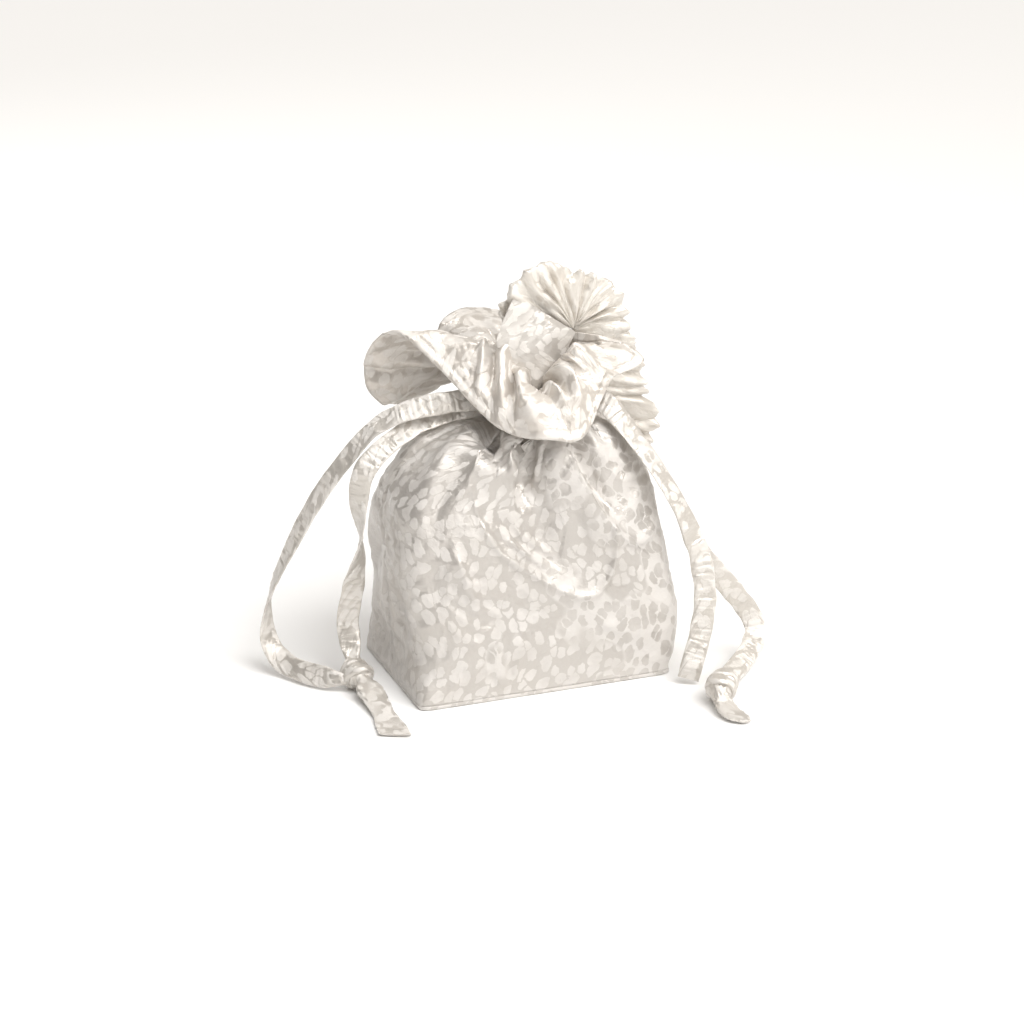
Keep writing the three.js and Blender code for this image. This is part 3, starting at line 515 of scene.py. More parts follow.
def unit(vectors):
    """Vectors made 1 long."""
    return vectors / np.maximum(np.linalg.norm(vectors, axis=-1, keepdims=True), 1e-9)


def ring(direction, radius, z, shift=0):
    """Points round an upright axis."""
    x, y = direction[:, 0] * radius, direction[:, 1] * radius
    return np.column_stack([shift + x, y, np.full(len(x), z)])


def normals_of(points, wrap):
    """Unit normals of a grid of points."""
    if wrap:
        across = np.roll(points, -1, axis=1) - np.roll(points, 1, axis=1)
    else:
        across = np.gradient(points, axis=1)
    return unit(np.cross(across, np.gradient(points, axis=0)))


def cloth_uv(points, wrap, middle):
    """Place of each grid point on the flat cloth, measured along the rows and the columns."""
    across = np.linalg.norm(np.diff(points, axis=1), axis=2)
    u = np.concatenate([np.zeros((len(points), 1)), np.cumsum(across, axis=1)], axis=1)
    along = np.linalg.norm(np.diff(points, axis=0), axis=2)
    v = np.concatenate([np.zeros((1, points.shape[1])), np.cumsum(along, axis=0)], axis=0)
    u = u - u[:, middle:middle + 1]
    if wrap:
        last = np.linalg.norm(points[:, 0] - points[:, -1], axis=1)
        u = np.concatenate([u, (u[:, -1] + last)[:, None]], axis=1)
        v = np.concatenate([v, v[:, :1]], axis=1)
    return np.stack([u, v], axis=2)


# Meshes

def grid_object(name, points, material, uv=None, wrap=False, caps=False, flip=False):
    """A quad mesh over a grid of points, with its place on the cloth as UVs in metres."""
    if uv is None:
        uv = cloth_uv(points, wrap, 0)
    rows, columns = points.shape[:2]
    steps = columns if wrap else columns - 1
    r, c = np.meshgrid(np.arange(rows - 1), np.arange(steps), indexing="ij")
    after = (c + 1) % columns
    quads = np.stack([r * columns + c, r * columns + after,
                      (r + 1) * columns + after, (r + 1) * columns + c], axis=2).reshape(-1, 4)
    corners = np.stack([uv[r, c], uv[r, c + 1], uv[r + 1, c + 1], uv[r + 1, c]], axis=2).reshape(-1, 4, 2)
    if flip:
        quads = quads[:, ::-1]
        corners = corners[:, ::-1]
    faces = quads.tolist()
    loops = corners.reshape(-1, 2)
    if caps:
        first = np.arange(columns)
        last = first + (rows - 1) * columns
        first_uv, last_uv = uv[0, :columns], uv[-1, :columns]
        if not flip:
            first, first_uv = first[::-1], first_uv[::-1]
        else:
            last, last_uv = last[::-1], last_uv[::-1]
        faces += [first.tolist(), last.tolist()]
        loops = np.concatenate([loops, first_uv, last_uv])
    mesh = bpy.data.meshes.new(name)
    mesh.from_pydata((points.reshape(-1, 3) * MM).tolist(), [], faces)
    layer = mesh.uv_layers.new(name="cloth")
    layer.data.foreach_set("uv", (loops * MM).astype(np.float32).ravel())
    mesh.polygons.foreach_set("use_smooth", np.ones(len(faces), bool))
    mesh.materials.append(material)
    mesh.update()
    return add_object(name, mesh)


def join_panels(name, panels):
    """Joins panels into one object and welds them along their seams."""
    bpy.ops.object.select_all(action="DESELECT")
    for panel in panels:
        panel.select_set(True)
    bpy.context.view_layer.objects.active = panels[0]
    bpy.ops.object.join()
    piece = panels[0]
    piece.name = name
    weld = piece.modifiers.new("weld", "WELD")
    weld.merge_threshold = 1e-5
    apply_modifiers(piece)
    return piece


def apply_modifiers(piece):
    graph = bpy.context.evaluated_depsgraph_get()
    mesh = bpy.data.meshes.new_from_object(piece.evaluated_get(graph))
    piece.modifiers.clear()
    piece.data = mesh


def give_wall(piece, wall, offset=-1):
    solid = piece.modifiers.new("wall", "SOLIDIFY")
    solid.thickness = wall * MM
    solid.offset = offset
    solid.use_even_offset = False
    apply_modifiers(piece)


def dress(piece, node):
    """The piece rides with the bag and stands for its solid, which is hidden."""
    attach(piece, "root")
    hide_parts(node)


# Silk

def silk_material(name, ground, spot, lean):
    """Satin jacquard: a glossy ground with matt pebble spots, fine creases and an uneven weave.

    In broad patches the spots are the darker part instead, a painted sheen where the ground stands lit by a
    reflection, and lean gathers those patches on one side of the cloth.
    """
    material = bpy.data.materials.new(name)
    material.use_nodes = True
    nodes = material.node_tree.nodes
    links = material.node_tree.links
    shader = nodes["Principled BSDF"]
    shader.inputs["Sheen Weight"].default_value = SHEEN
    shader.inputs["Sheen Roughness"].default_value = SHEEN_ROUGHNESS
    shader.inputs["Specular IOR Level"].default_value = SPECULAR
    coordinates = nodes.new("ShaderNodeTexCoord")
    place = coordinates.outputs["UV"]

    def connect(socket, value):
        if hasattr(value, "links"):
            links.new(value, socket)
        else:
            socket.default_value = value

    def calc(operation, *values):
        node = nodes.new("ShaderNodeMath")
        node.operation = operation
        for socket, value in zip(node.inputs, values):
            connect(socket, value)
        return node.outputs[0]

    def vector(operation, *values):
        node = nodes.new("ShaderNodeVectorMath")
        node.operation = operation
        for socket, value in zip(node.inputs, values):
            connect(socket, value)
        return node.outputs[0]

    def noise(at, size, detail, colour=False, rough=0.5):
        node = nodes.new("ShaderNodeTexNoise")
        node.inputs["Scale"].default_value = 1 / (size * MM)
        node.inputs["Detail"].default_value = detail
        node.inputs["Roughness"].default_value = rough
        links.new(at, node.inputs["Vector"])
        return node.outputs["Color" if colour else "Fac"]

    def ramp(value, low, high, out_low=0.0, out_high=1.0, smooth=False):
        node = nodes.new("ShaderNodeMapRange")
        node.interpolation_type = "SMOOTHSTEP" if smooth else "LINEAR"
        limits = {"From Min": low, "From Max": high, "To Min": out_low, "To Max": out_high}
        for key, number in limits.items():
            node.inputs[key].default_value = number
        links.new(value, node.inputs["Value"])
        return node.outputs["Result"]

    def blend(amount, a, b, kind="MIX"):
        node = nodes.new("ShaderNodeMix")
        node.data_type = "RGBA"
        node.blend_type = kind
        connect(node.inputs["Factor"], amount)
        connect(node.inputs["A"], a)
        connect(node.inputs["B"], b)
        return node.outputs["Result"]

    def pushed(at, size, detail, distance):
        return vector("MULTIPLY_ADD", vector("SUBTRACT", noise(at, size, detail, True), (0.5, 0.5, 0.5)),
                      (distance * MM,) * 3, at)

    wavy = pushed(pushed(pushed(place, 26, 1.0, 12), 9, 1.0, 5), 2.8, 2.0, 2.8)
    stretched = vector("MULTIPLY", wavy, (1.18, 0.90, 1.0))

    def cells(feature):
        node = nodes.new("ShaderNodeTexVoronoi")
        node.voronoi_dimensions = "2D"
        node.feature = feature
        node.inputs["Scale"].default_value = 1 / (SPOT_SIZE * MM)
        node.inputs["Randomness"].default_value = 0.9
        links.new(stretched, node.inputs["Vector"])
        return node

    middle = cells("F1")
    edge = cells("DISTANCE_TO_EDGE")
    size = ramp(middle.outputs["Color"], 0, 1, 0.33, 0.52)
    gap = ramp(noise(place, 20, 1.0), 0.40, 0.60, -0.04, 0.075)
    inside = calc("MINIMUM", calc("SUBTRACT", size, middle.outputs["Distance"]),
                  calc("SUBTRACT", edge.outputs["Distance"], gap))
    faint = ramp(noise(place, 24, 1.0), 0.35, 0.6, 0.55, 1.0)
    spots = calc("MULTIPLY", ramp(inside, -0.02, 0.035, smooth=True), faint)
    apart = nodes.new("ShaderNodeSeparateXYZ")
    links.new(place, apart.inputs["Vector"])
    # Painted sheen: in broad noise patches, gathered by lean towards one side of the cloth, spots and ground
    # trade colour, roughness and metallic. The ground there paints a lit reflection and the spots read
    # darker.
    sheen_noise = calc("ADD", noise(place, SHEEN_PATCH_SIZE, 1.0), calc("MULTIPLY", apart.outputs["X"], lean))
    painted_sheen_patches = ramp(sheen_noise, 0.52, 0.565, smooth=True)
    both = calc("MULTIPLY", spots, painted_sheen_patches)
    spot_or_sheen_mask = calc("SUBTRACT", calc("ADD", spots, painted_sheen_patches), calc("ADD", both, both))

    slub = noise(vector("MULTIPLY", place, (0.35, 1.6, 1.0)), 0.9, 2.0, rough=0.6)
    mottle = noise(place, 36, 2.0)
    tint = blend(spot_or_sheen_mask, (*ground, 1), (*spot, 1))
    worn = blend(calc("MULTIPLY", calc("MULTIPLY", slub, mottle), 1.2), tint, WORN_TINT, "MULTIPLY")
    links.new(worn, shader.inputs["Base Color"])
    links.new(ramp(spot_or_sheen_mask, 0, 1, *ROUGHNESS), shader.inputs["Roughness"])
    links.new(ramp(spot_or_sheen_mask, 0, 1, *METALLIC), shader.inputs["Metallic"])

    crush = calc("ABSOLUTE", calc("SUBTRACT", noise(pushed(place, 14, 1.0, 5), 7.5, 2.0, rough=0.55), 0.5))
    creases = calc("ADD", calc("MULTIPLY", slub, SLUB_RELIEF), calc("MULTIPLY", crush, CREASE_RELIEF))
    relief = calc("ADD", calc("MULTIPLY", spot_or_sheen_mask, SPOT_RELIEF), creases)
    bump = nodes.new("ShaderNodeBump")
    bump.inputs["Strength"].default_value = 1.0
    bump.inputs["Distance"].default_value = BUMP_DEPTH * MM
    links.new(relief, bump.inputs["Height"])
    links.new(bump.outputs["Normal"], shader.inputs["Normal"])
    return material


# Pouch

def wall_directions(front_steps, side_steps, back_steps):
    """Directions to points along the base's four sides, from the left side's middle past the front."""
    corners = [(-1, 0), (-1, -1), (1, -1), (1, 0), (1, 1), (-1, 1), (-1, 0)]
    steps = [side_steps, front_steps, side_steps, side_steps, back_steps, side_steps]
    points = []
    for (x0, y0), (x1, y1), count in zip(corners, corners[1:], steps):
        for i in range(count):
            t = i / count
            points.append(((x0 + (x1 - x0) * t) * BASE_WIDTH / 2, (y0 + (y1 - y0) * t) * BASE_DEPTH / 2))
    return unit(np.array(points))


def oval_radius(direction, half_width, half_depth, squareness):
    across = np.abs(direction[..., 0]) / half_width
    along = np.abs(direction[..., 1]) / half_depth
    return (across ** squareness + along ** squareness) ** (-1 / squareness)


def gather(direction):
    """Uneven gathers round the neck, from -1 to 1."""
    angle = np.arctan2(direction[..., 0], -direction[..., 1])
    uneven = 0.10 * np.sin(3 * angle + 0.8) + 0.06 * np.sin(7 * angle)
    return np.cos(GATHER_COUNT * (angle + uneven))


def smooth_pouch(direction, z):
    """The pouch's form before its folds, for matching grids of directions and heights."""
    height = (z - SEAM_HEIGHT) / (POUCH_TOP - SEAM_HEIGHT)
    width = column(POUCH_SECTIONS, "width", "height", height)
    depth = column(POUCH_SECTIONS, "depth", "height", height)
    shift = column(POUCH_SECTIONS, "shift", "height", height) * NECK_SHIFT
    squareness = column(POUCH_SECTIONS, "squareness", "height", height)
    half_width = (NECK_WIDTH + (BASE_WIDTH - NECK_WIDTH) * width) / 2
    half_depth = (NECK_DEPTH + (BASE_DEPTH - NECK_DEPTH) * depth) / 2
    radius = oval_radius(direction, half_width, half_depth, squareness)
    return np.stack([shift + direction[..., 0] * radius, direction[..., 1] * radius, z], axis=-1)


def fold_offset(folds, x, z):
    """How far folds push their cloth out at x, z."""
    total = np.zeros_like(x)
    for row in folds:
        fold = FADED | dict(zip(FOLD_COLUMNS, row))
        line = through_points(fold["line"], np.linspace(0, 1, 6 * len(fold["line"])))
        nearest = np.full(x.shape, np.inf)
        side = np.zeros_like(x)
        place = np.zeros_like(x)
        for i, ((x0, z0), (x1, z1)) in enumerate(zip(line, line[1:])):
            dx, dz = x1 - x0, z1 - z0
            t = np.clip(((x - x0) * dx + (z - z0) * dz) / (dx * dx + dz * dz), 0, 1)
            away_x, away_z = x - x0 - t * dx, z - z0 - t * dz
            distance = np.hypot(away_x, away_z)
            closer = distance < nearest
            side = np.where(closer, dx * away_z - dz * away_x, side)
            place = np.where(closer, (i + t) / (len(line) - 1), place)
            nearest = np.minimum(distance, nearest)
        breadth = np.where(side > 0, fold["left"], fold["right"])
        rounded = np.sqrt(nearest ** 2 + fold["crest"] ** 2) - fold["crest"]
        strength = (fold["start"] + (1 - fold["start"]) * smoothstep(place, 0, 0.3)) * (
            fold["end"] + (1 - fold["end"]) * smoothstep(-place, -1, -0.55))
        total += fold["rise"] * strength * np.exp(-rounded / breadth * (1 + rounded / breadth) * 0.7)
    return total


def pouch(material):
    """The pouch from the base seam to the gathered neck, in a front and a back panel."""
    side, front, back, rows = 26, 184, 72, 136
    directions = wall_directions(front, side, back)
    share = np.linspace(0, 1, rows)
    heights = POUCH_FOOT + (POUCH_TOP - POUCH_FOOT) * (1 - (1 - share) ** 1.12)
    direction = np.broadcast_to(directions, (rows, *directions.shape))
    z = np.broadcast_to(heights[:, None], direction.shape[:2])
    smooth = smooth_pouch(direction, z)
    x, y = smooth[..., 0], smooth[..., 1]
    facing = smoothstep(np.abs(direction[..., 1]), 0.18, 0.5)
    hold = smoothstep(z, SEAM_HEIGHT, SEAM_HEIGHT + 8)
    neck_hold = smoothstep(z, POUCH_TOP - GATHER_LENGTH, POUCH_TOP)
    at_front = direction[..., 1] < 0
    folds = np.where(at_front, fold_offset(FRONT_FOLDS, x, z), fold_offset(BACK_FOLDS, x, z)) * facing
    side_dents = SIDE_DENT * crinkle(plane(y, z), 58, 5) * (1 - facing) * smoothstep(-z, -190, -120)
    left_shoulder = SHOULDER_SWELL * np.exp(-((x + 50) / 27) ** 2 - ((z - 190) / 17) ** 2)
    push = neck_hold * GATHER_DEPTH * gather(direction)
    points = smooth + plane(direction[..., 0] * push, direction[..., 1] * push, 0)
    neck_calm = smoothstep(-z, -POUCH_TOP, 7 - POUCH_TOP)
    form = (folds * neck_calm + side_dents + left_shoulder) * hold
    points = points + normals_of(points, True) * form[..., None]
    slack = 0.45 + 0.45 * smoothstep(-x, -20, 60) + 0.35 * smoothstep(z, 110, 180)
    slack = slack * (1 - 0.6 * np.exp(-((x + 5) / 26) ** 2 - ((z - 185) / 22) ** 2))
    slack = slack * (1 - 0.5 * np.exp(-((x + 64) / 36) ** 2 - ((z - 158) / 34) ** 2))
    wrinkles = rippled(points, (0.9, crinkle, 50, 11), (0.65, creased, 27, 12), (0.22, creased, 12, 13))
    seam = -1.5 * np.exp(-(y / 1.7) ** 2) + 0.7 * np.exp(-((np.abs(y) - 4) / 2.5) ** 2)
    rise = (wrinkles * slack + seam * (1 - facing)) * hold
    points = points + normals_of(points, True) * rise[..., None]
    turn = side + front + side
    panels = []
    for name, panel in (("pouch_front", points[:, :turn + 1]),
                        ("pouch_back", np.concatenate([points[:, turn:], points[:, :1]], axis=1))):
        panels.append(grid_object(name, panel, material, cloth_uv(panel, False, panel.shape[1] // 2)))
    piece = join_panels("pouch_cloth", panels)
    give_wall(piece, CLOTH_WALL)
    dress(piece, "pouch_body")


def base(material):
    """The flat base with its edge turned up to the seam, slightly puckered along it."""
    directions = wall_directions(120, 30, 120)
    size = oval_radius(directions, BASE_WIDTH / 2, BASE_DEPTH / 2, BASE_SQUARENESS)
    rows = [ring(directions, size * share, 0.0) for share in (0.001, 0.35, 0.7, 0.9, 0.985)]
    edge = [(1.4, 0.15), (0.6, 0.5), (0.1, 1.3), (0.0, 2.4), (0.1, 3.3), (0.5, 3.8), (0.8, 5.0), (0.9, 6.8),
            (1.3, 7.4), (1.9, 7.4), (2.4, 6.6), (2.5, 4.0), (2.5, 2.2)]
    run = np.arange(len(directions))
    for inset, z in edge:
        radius = oval_radius(directions, BASE_WIDTH / 2 - inset, BASE_DEPTH / 2 - inset, BASE_SQUARENESS)
        pucker = 0.25 * np.sin(run * 0.9) * np.sin(run * 0.37) * (z > 1)
        rows.append(ring(directions, radius + pucker, z))
    rows += [ring(directions, size * share, BASE_THICKNESS) for share in (0.9, 0.5, 0.001)]
    points = np.array(rows)
    piece = grid_object("base_cloth", points, material, wrap=True, caps=True)
    dress(piece, "base_panel")


# Neck and frill

def neck_radius(direction, swell):
    oval = oval_radius(direction, NECK_WIDTH / 2, NECK_DEPTH / 2, NECK_SQUARENESS)
    return oval + GATHER_DEPTH * gather(direction) + swell


def casing(material):
    """The gathered band that the drawstrings run in."""
    columns, steps = 320, 18
    angle = np.linspace(0, 2 * math.pi, columns, endpoint=False)
    direction = np.column_stack([np.sin(angle), -np.cos(angle)])
    rows = []
    for i in range(steps + 1):
        share = i / steps
        swell = CASING_SWELL * math.sin(math.pi * share) + 0.7 * np.sin(5 * angle + 4 * share)
        radius = neck_radius(direction, swell * math.sin(math.pi * share))
        rows.append(ring(direction, radius, POUCH_TOP + SEAM_GAP + CASING_HEIGHT * share, NECK_SHIFT))
    points = np.array(rows)
    piece = grid_object("casing_cloth", points, material, wrap=True)
    give_wall(piece, CLOTH_WALL)
    dress(piece, "drawstring_casing")


def frill_grid(columns, steps):
    """Points of the frill's cloth before its folds, from the casing out to the hem."""
    turn = (np.linspace(0, 1, columns, endpoint=False) + FRILL_SEAM_TURN) % 1
    count = len(FRILL_STATIONS)

    def station(key):
        values = np.array([[row[key]] for row in FRILL_STATIONS])
        return through_points(values, turn, closed=True)[:, 0]

    start = np.array([row["angle"] for row in FRILL_STATIONS])
    laps = np.concatenate([start[-1:] + 360, start, start[:2] - 360])
    place = turn * count
    i = np.floor(place).astype(int)
    t = place - i
    angle = np.radians(between(laps[i], laps[i + 1], laps[i + 2], laps[i + 3], t))
    direction = np.column_stack([np.sin(angle), -np.cos(angle)])
    foot_z = NECK_HEIGHT + CASING_HEIGHT / 2 + SEAM_GAP
    share = np.linspace(0, 1, steps + 1)[:, None]

    def through(a, b, c):
        return a * (1 - share) * (1 - 2 * share) + b * 4 * share * (1 - share) + c * share * (2 * share - 1)

    foot = neck_radius(direction, 0)
    reach = through(foot, station("half_reach") * FRILL_REACH, station("reach") * FRILL_REACH)
    half_z, hem_z = (NECK_HEIGHT + station(key) * FRILL_RISE for key in ("half_rise", "rise"))
    z = through(foot_z, half_z, hem_z)
    points = plane(NECK_SHIFT + direction[:, 0] * reach, direction[:, 1] * reach, z)
    pucker = 1 + 0.10 * np.cos(17 * angle + np.sin(3 * angle))
    mouth = plane(MOUTH_PLACE[0] + direction[:, 0] * MOUTH_SIZE[0] * pucker,
                  MOUTH_PLACE[1] + direction[:, 1] * MOUTH_SIZE[1] * pucker, foot_z + MOUTH_RISE)
    draw_in = smoothstep(share, 0, MOUTH_SHARE) * smoothstep(-share, -0.46, -MOUTH_SHARE)
    at_mouth = points[round(MOUTH_SHARE * steps)]
    points = points + (mouth - at_mouth) * draw_in[..., None]
    around = np.linspace(0, FRILL_LENGTH, columns, endpoint=False)
    for place, depth, wide, deep, pull in FRILL_PULLS:
        near = np.exp(-((around - place) / wide) ** 2) * np.exp(-((share * FRILL_DEPTH - depth) / deep) ** 2)
        points = points + near[..., None] * np.array(pull, float)
    return points, share, angle


def frill(material):
    columns, steps = 760, 58
    points, share, angle = frill_grid(columns, steps)
    v = cloth_uv(points, True, 0)[:, :columns, 1]
    u = np.broadcast_to(np.linspace(0, FRILL_LENGTH, columns, endpoint=False), v.shape)
    from_hem = v[-1] - v
    stitches = -0.7 * np.exp(-((from_hem - HEM_WIDTH) / 0.8) ** 2)
    hem = stitches + 0.4 * smoothstep(-from_hem, -HEM_WIDTH, 1.5 - HEM_WIDTH)
    gathers = np.cos(24 * angle + 3.5 * np.sin(2 * angle)) + 0.6 * np.cos(39 * angle + 2 * np.sin(3 * angle))
    gathered = FRILL_RIPPLE * gathers * np.sqrt(share) * (1 - share) ** 3 * 4
    folds = fold_offset(FRILL_FOLDS, u, share * FRILL_DEPTH + np.zeros_like(u))
    wrinkles = rippled(points, (1.1, crinkle, 40, 5), (0.5, creased, 22, 6), (0.15, creased, 11, 7))
    rise = gathered + (wrinkles + folds) * smoothstep(share, 0.1, 0.3) + hem
    points = points + normals_of(points, True) * rise[..., None]
    uv = plane(np.concatenate([u, u[:, :1] + FRILL_LENGTH], axis=1), np.concatenate([v, v[:, :1]], axis=1))
    piece = grid_object("frill_cloth", points, material, uv, wrap=True, flip=True)
    give_wall(piece, CLOTH_WALL, offset=0)
    dress(piece, "frill_collar")


# Handle

TAB_FOOT = np.array([NECK_SHIFT - TAB_FOOT_LEFT, 0, NECK_HEIGHT - TAB_FOOT_DROP])


def tab_point(across, place):
    """A point of the tab's middle surface."""
    def value(key):
        return column(TAB_ROWS, key, "place", place)
    x = (value("left_x") + (value("right_x") - value("left_x")) * across) * TAB_WIDTH
    z = (value("left_z") + (value("right_z") - value("left_z")) * across) * TAB_LENGTH
    return np.stack([TAB_FOOT[0] + x, value("y") * NECK_DEPTH, TAB_FOOT[2] + z], axis=-1)


def tab(material):
    rows, columns = 80, 56
    place = np.linspace(0, 1, rows)[:, None] + np.zeros((1, columns))
    round_edge = (1 - np.cos(np.linspace(0, math.pi, columns))) / 2
    across = round_edge[None, :] + np.zeros((rows, 1))
    middle = tab_point(across, place)
    pillow = np.sin(math.pi * across)
    edge = np.sqrt(np.clip(1 - (2 * across - 1) ** 2, 0, 1))
    wrinkles = rippled(middle, (0.8, crinkle, 34, 21), (0.25, creased, 18, 22))
    front = middle.copy()
    into_seam = 1 - smoothstep(place, 0.9, 1)
    front[..., 1] -= TAB_THICKNESS / 2 * edge + (TAB_THICKNESS * pillow + wrinkles * edge) * into_seam
    back = middle.copy()
    back[..., 1] += TAB_THICKNESS / 2 * edge - TAB_THICKNESS * pillow
    points = np.concatenate([front, back[:, -2:0:-1]], axis=1)
    piece = grid_object("tab_cloth", points, material, wrap=True, caps=True)
    dress(piece, "handle_tab")


def strap_stations():
    """Inner and outer edge of the ruched strap at its stations."""
    pivot = tab_point(np.array(1.0), np.array(1.0))
    seam_end = tab_point(np.array(0.0), np.array(1.0))
    seam_angle = math.atan2(seam_end[2] - pivot[2], seam_end[0] - pivot[0])
    seam_side = np.array([math.sin(seam_angle), 0, -math.cos(seam_angle)])
    inner_points, outer_points = [], []
    fan_steps = 10
    for i in range(-2, fan_steps + 1):
        share = i / fan_steps
        angle = seam_angle * (1 - share)
        across = np.array([math.cos(angle), 0, math.sin(angle)])
        breadth = float(column(FAN_ROWS, "breadth", "turn", np.array(share))) * HANDLE_WIDTH
        inner = pivot + across * FAN_INSET + seam_side * TAB_GAP
        inner[1] = pivot[1] + (HANG_ROWS[0]["back"] * NECK_DEPTH - pivot[1]) * max(share, 0)
        inner[1] += FAN_BEHIND * smoothstep(-share, -0.045, 0.08)
        inner_points.append(inner)
        outer_points.append(inner + across * breadth)
    start = (inner_points[-1] + outer_points[-1]) / 2
    for row in HANG_ROWS[1:]:
        tilt = -HANDLE_TILT * row["drop"]
        across = np.array([math.cos(tilt), 0, math.sin(tilt)])
        middle = np.array([start[0] + row["across"] * HANDLE_SIDE, row["back"] * NECK_DEPTH,
                           start[2] - row["drop"] * HANDLE_DROP])
        half = row["breadth"] * HANDLE_WIDTH / 2
        inner_points.append(middle - across * half)
        outer_points.append(middle + across * half)
    seat_side = np.array([1, HANDLE_SEAT_TURN]) / math.hypot(1, HANDLE_SEAT_TURN)
    seat = smooth_pouch(seat_side, np.array(start[2] - HANDLE_DROP))
    inner = seat + np.array([*(seat_side * 1.2), 0])
    sag = np.array([math.cos(HANDLE_SAG), 0, -math.sin(HANDLE_SAG)])
    inner_points.append(inner)
    outer_points.append(inner + sag * HANDLE_WIDTH * HANDLE_FOOT)
    return np.array(inner_points), np.array(outer_points)


def puffs(phase):
    """Rounded puffs between sharp valleys, from -1 to 1."""
    return 2 * np.abs(np.cos(phase / 2)) - 1


def strap(material):
    """The strap, gathered into deep uneven ruches that run across it."""
    rows, columns = 620, 34
    along = np.linspace(0, 1, rows)
    inner_stations, outer_stations = strap_stations()
    inner = through_points(inner_stations, along)[:, None]
    outer = through_points(outer_stations, along)[:, None]
    share = np.linspace(0, 1, columns)[None, :]
    run = np.concatenate([[0], np.cumsum(np.linalg.norm(np.diff(outer[:, 0], axis=0), axis=1))])[:, None]
    drift = crinkle(plane(run, share * 52), 44, 31)
    phase = 2 * math.pi * run / RUCHE_LENGTH + 2.0 * drift
    fine = 2 * math.pi * run / (RUCHE_LENGTH * 0.46) + 2.6 * crinkle(plane(run, share * 40), 34, 33)
    strength = 0.75 + 0.4 * crinkle(plane(run, share * 60), 42, 34)
    ends = np.clip(np.minimum(along, 1 - along) * 50, 0, 1)[:, None]
    ruche = (0.85 * puffs(phase) * strength + 0.11 * puffs(fine) * (1.2 - strength)) * ends
    across = unit(outer - inner)
    scallop = (ruche * RUCHE_DEPTH * 0.7 + 0.6 * crinkle(plane(run), 9, 35)) * share ** 2 * ends
    middle = inner + (outer - inner) * share[..., None] + across * scallop[..., None]
    crown = np.sin(math.pi * share) ** 0.5
    padding = HANDLE_THICKNESS / 2 * (0.25 + 0.75 * crown)
    deep = RUCHE_DEPTH * np.sqrt(share) * (0.5 + 0.5 * np.sin(math.pi * np.clip(share, 0, 0.85)))
    flutter = 2.4 * crinkle(plane(run, share * 10), 20, 36) * share ** 3 * ends
    front = middle.copy()
    back = middle.copy()
    front_out = padding + ruche * deep + flutter
    back_out = padding + np.roll(ruche, 5, axis=0) * deep * 0.8 - flutter
    lack = np.maximum(STRAP_LEAST - front_out - back_out, 0) / 2
    front[..., 1] -= front_out + lack
    back[..., 1] += back_out + lack
    points = np.concatenate([front, back[:, ::-1]], axis=1)
    lay = np.concatenate([share, 2 - share[:, ::-1]], axis=1) * HANDLE_WIDTH
    lay = np.concatenate([lay, lay[:, :1] + 2 * HANDLE_WIDTH], axis=1)
    uv = plane(lay, run * 1.5)
    piece = grid_object("strap_cloth", points, material, uv, wrap=True, caps=True, flip=True)
    dress(piece, "handle_ruched")


# Drawstrings

def ribbon_frames(route, steps):
    """Middle line of a ribbon with the directions across it and out of its face."""
    route = np.array(route, float)
    shares = np.linspace(0, 1, RIBBON_FINE_STEPS)
    fine = through_points(route[:, :3], shares)
    length = np.concatenate([[0], np.cumsum(np.linalg.norm(np.diff(fine, axis=0), axis=1))])
    even = np.interp(np.linspace(0, length[-1], steps), length, shares)
    line = through_points(route[:, :3], even)
    tangent = unit(np.gradient(line, axis=0))
    turn = np.radians(np.interp(even * (len(route) - 1), np.arange(len(route)), route[:, 3]))[:, None]
    across = unit(np.cross(tangent, CAMERA_SIDE))
    face = np.cross(tangent, across)
    turned = across * np.cos(turn) + face * np.sin(turn)
    return line, turned, face * np.cos(turn) - across * np.sin(turn), length[-1]


def strand(name, route, material, seed, far_end):
    """A flat tube of sewn silk with soft wrinkles across it."""
    steps, around = 420, 28
    line, across, face, length = ribbon_frames(route, steps)
    angle = np.linspace(0, 2 * math.pi, around, endpoint=False)[None, :]
    flat_x = np.sign(np.cos(angle)) * np.abs(np.cos(angle)) ** 0.55
    flat_y = np.sign(np.sin(angle)) * np.abs(np.sin(angle)) ** 0.75
    run = np.linspace(0, length, steps)[:, None]
    drawn_in = smoothstep(run, length - 24, length - 6) * (far_end == "knot")
    breadth = RIBBON_WIDTH / 2 * (0.96 + 0.03 * crinkle(plane(run), 26, seed)) * (1 - 0.4 * drawn_in)
    cloth = plane(run, flat_x * RIBBON_WIDTH / 5)
    wrinkles = rippled(cloth, (0.4, creased, 11, seed + 1), (0.7, crinkle, 24, seed + 2))
    wrinkles = wrinkles + 0.28 * creased(plane(run, flat_x * 3), 6.5, seed + 3)
    wrinkles = wrinkles + drawn_in * np.cos(flat_x * 9)
    thickness = RIBBON_THICKNESS / 2 * flat_y * (1 + 1.6 * drawn_in)
    hem = 0.3 * np.exp(-((length - run - HEM_WIDTH) / 0.7) ** 2) * np.sign(flat_y)
    lift = thickness + wrinkles * (1 - flat_x ** 4) * 0.8 - hem
    sideways = across[:, None] * (breadth * flat_x)[..., None]
    points = line[:, None] + sideways + face[:, None] * lift[..., None]
    piece = grid_object(name + "_cloth", points, material, wrap=True, caps=True)
    dress(piece, name)
    path = [tuple(point) for point in line[::10] * MM]
    path.append(tuple(line[-1] * MM))


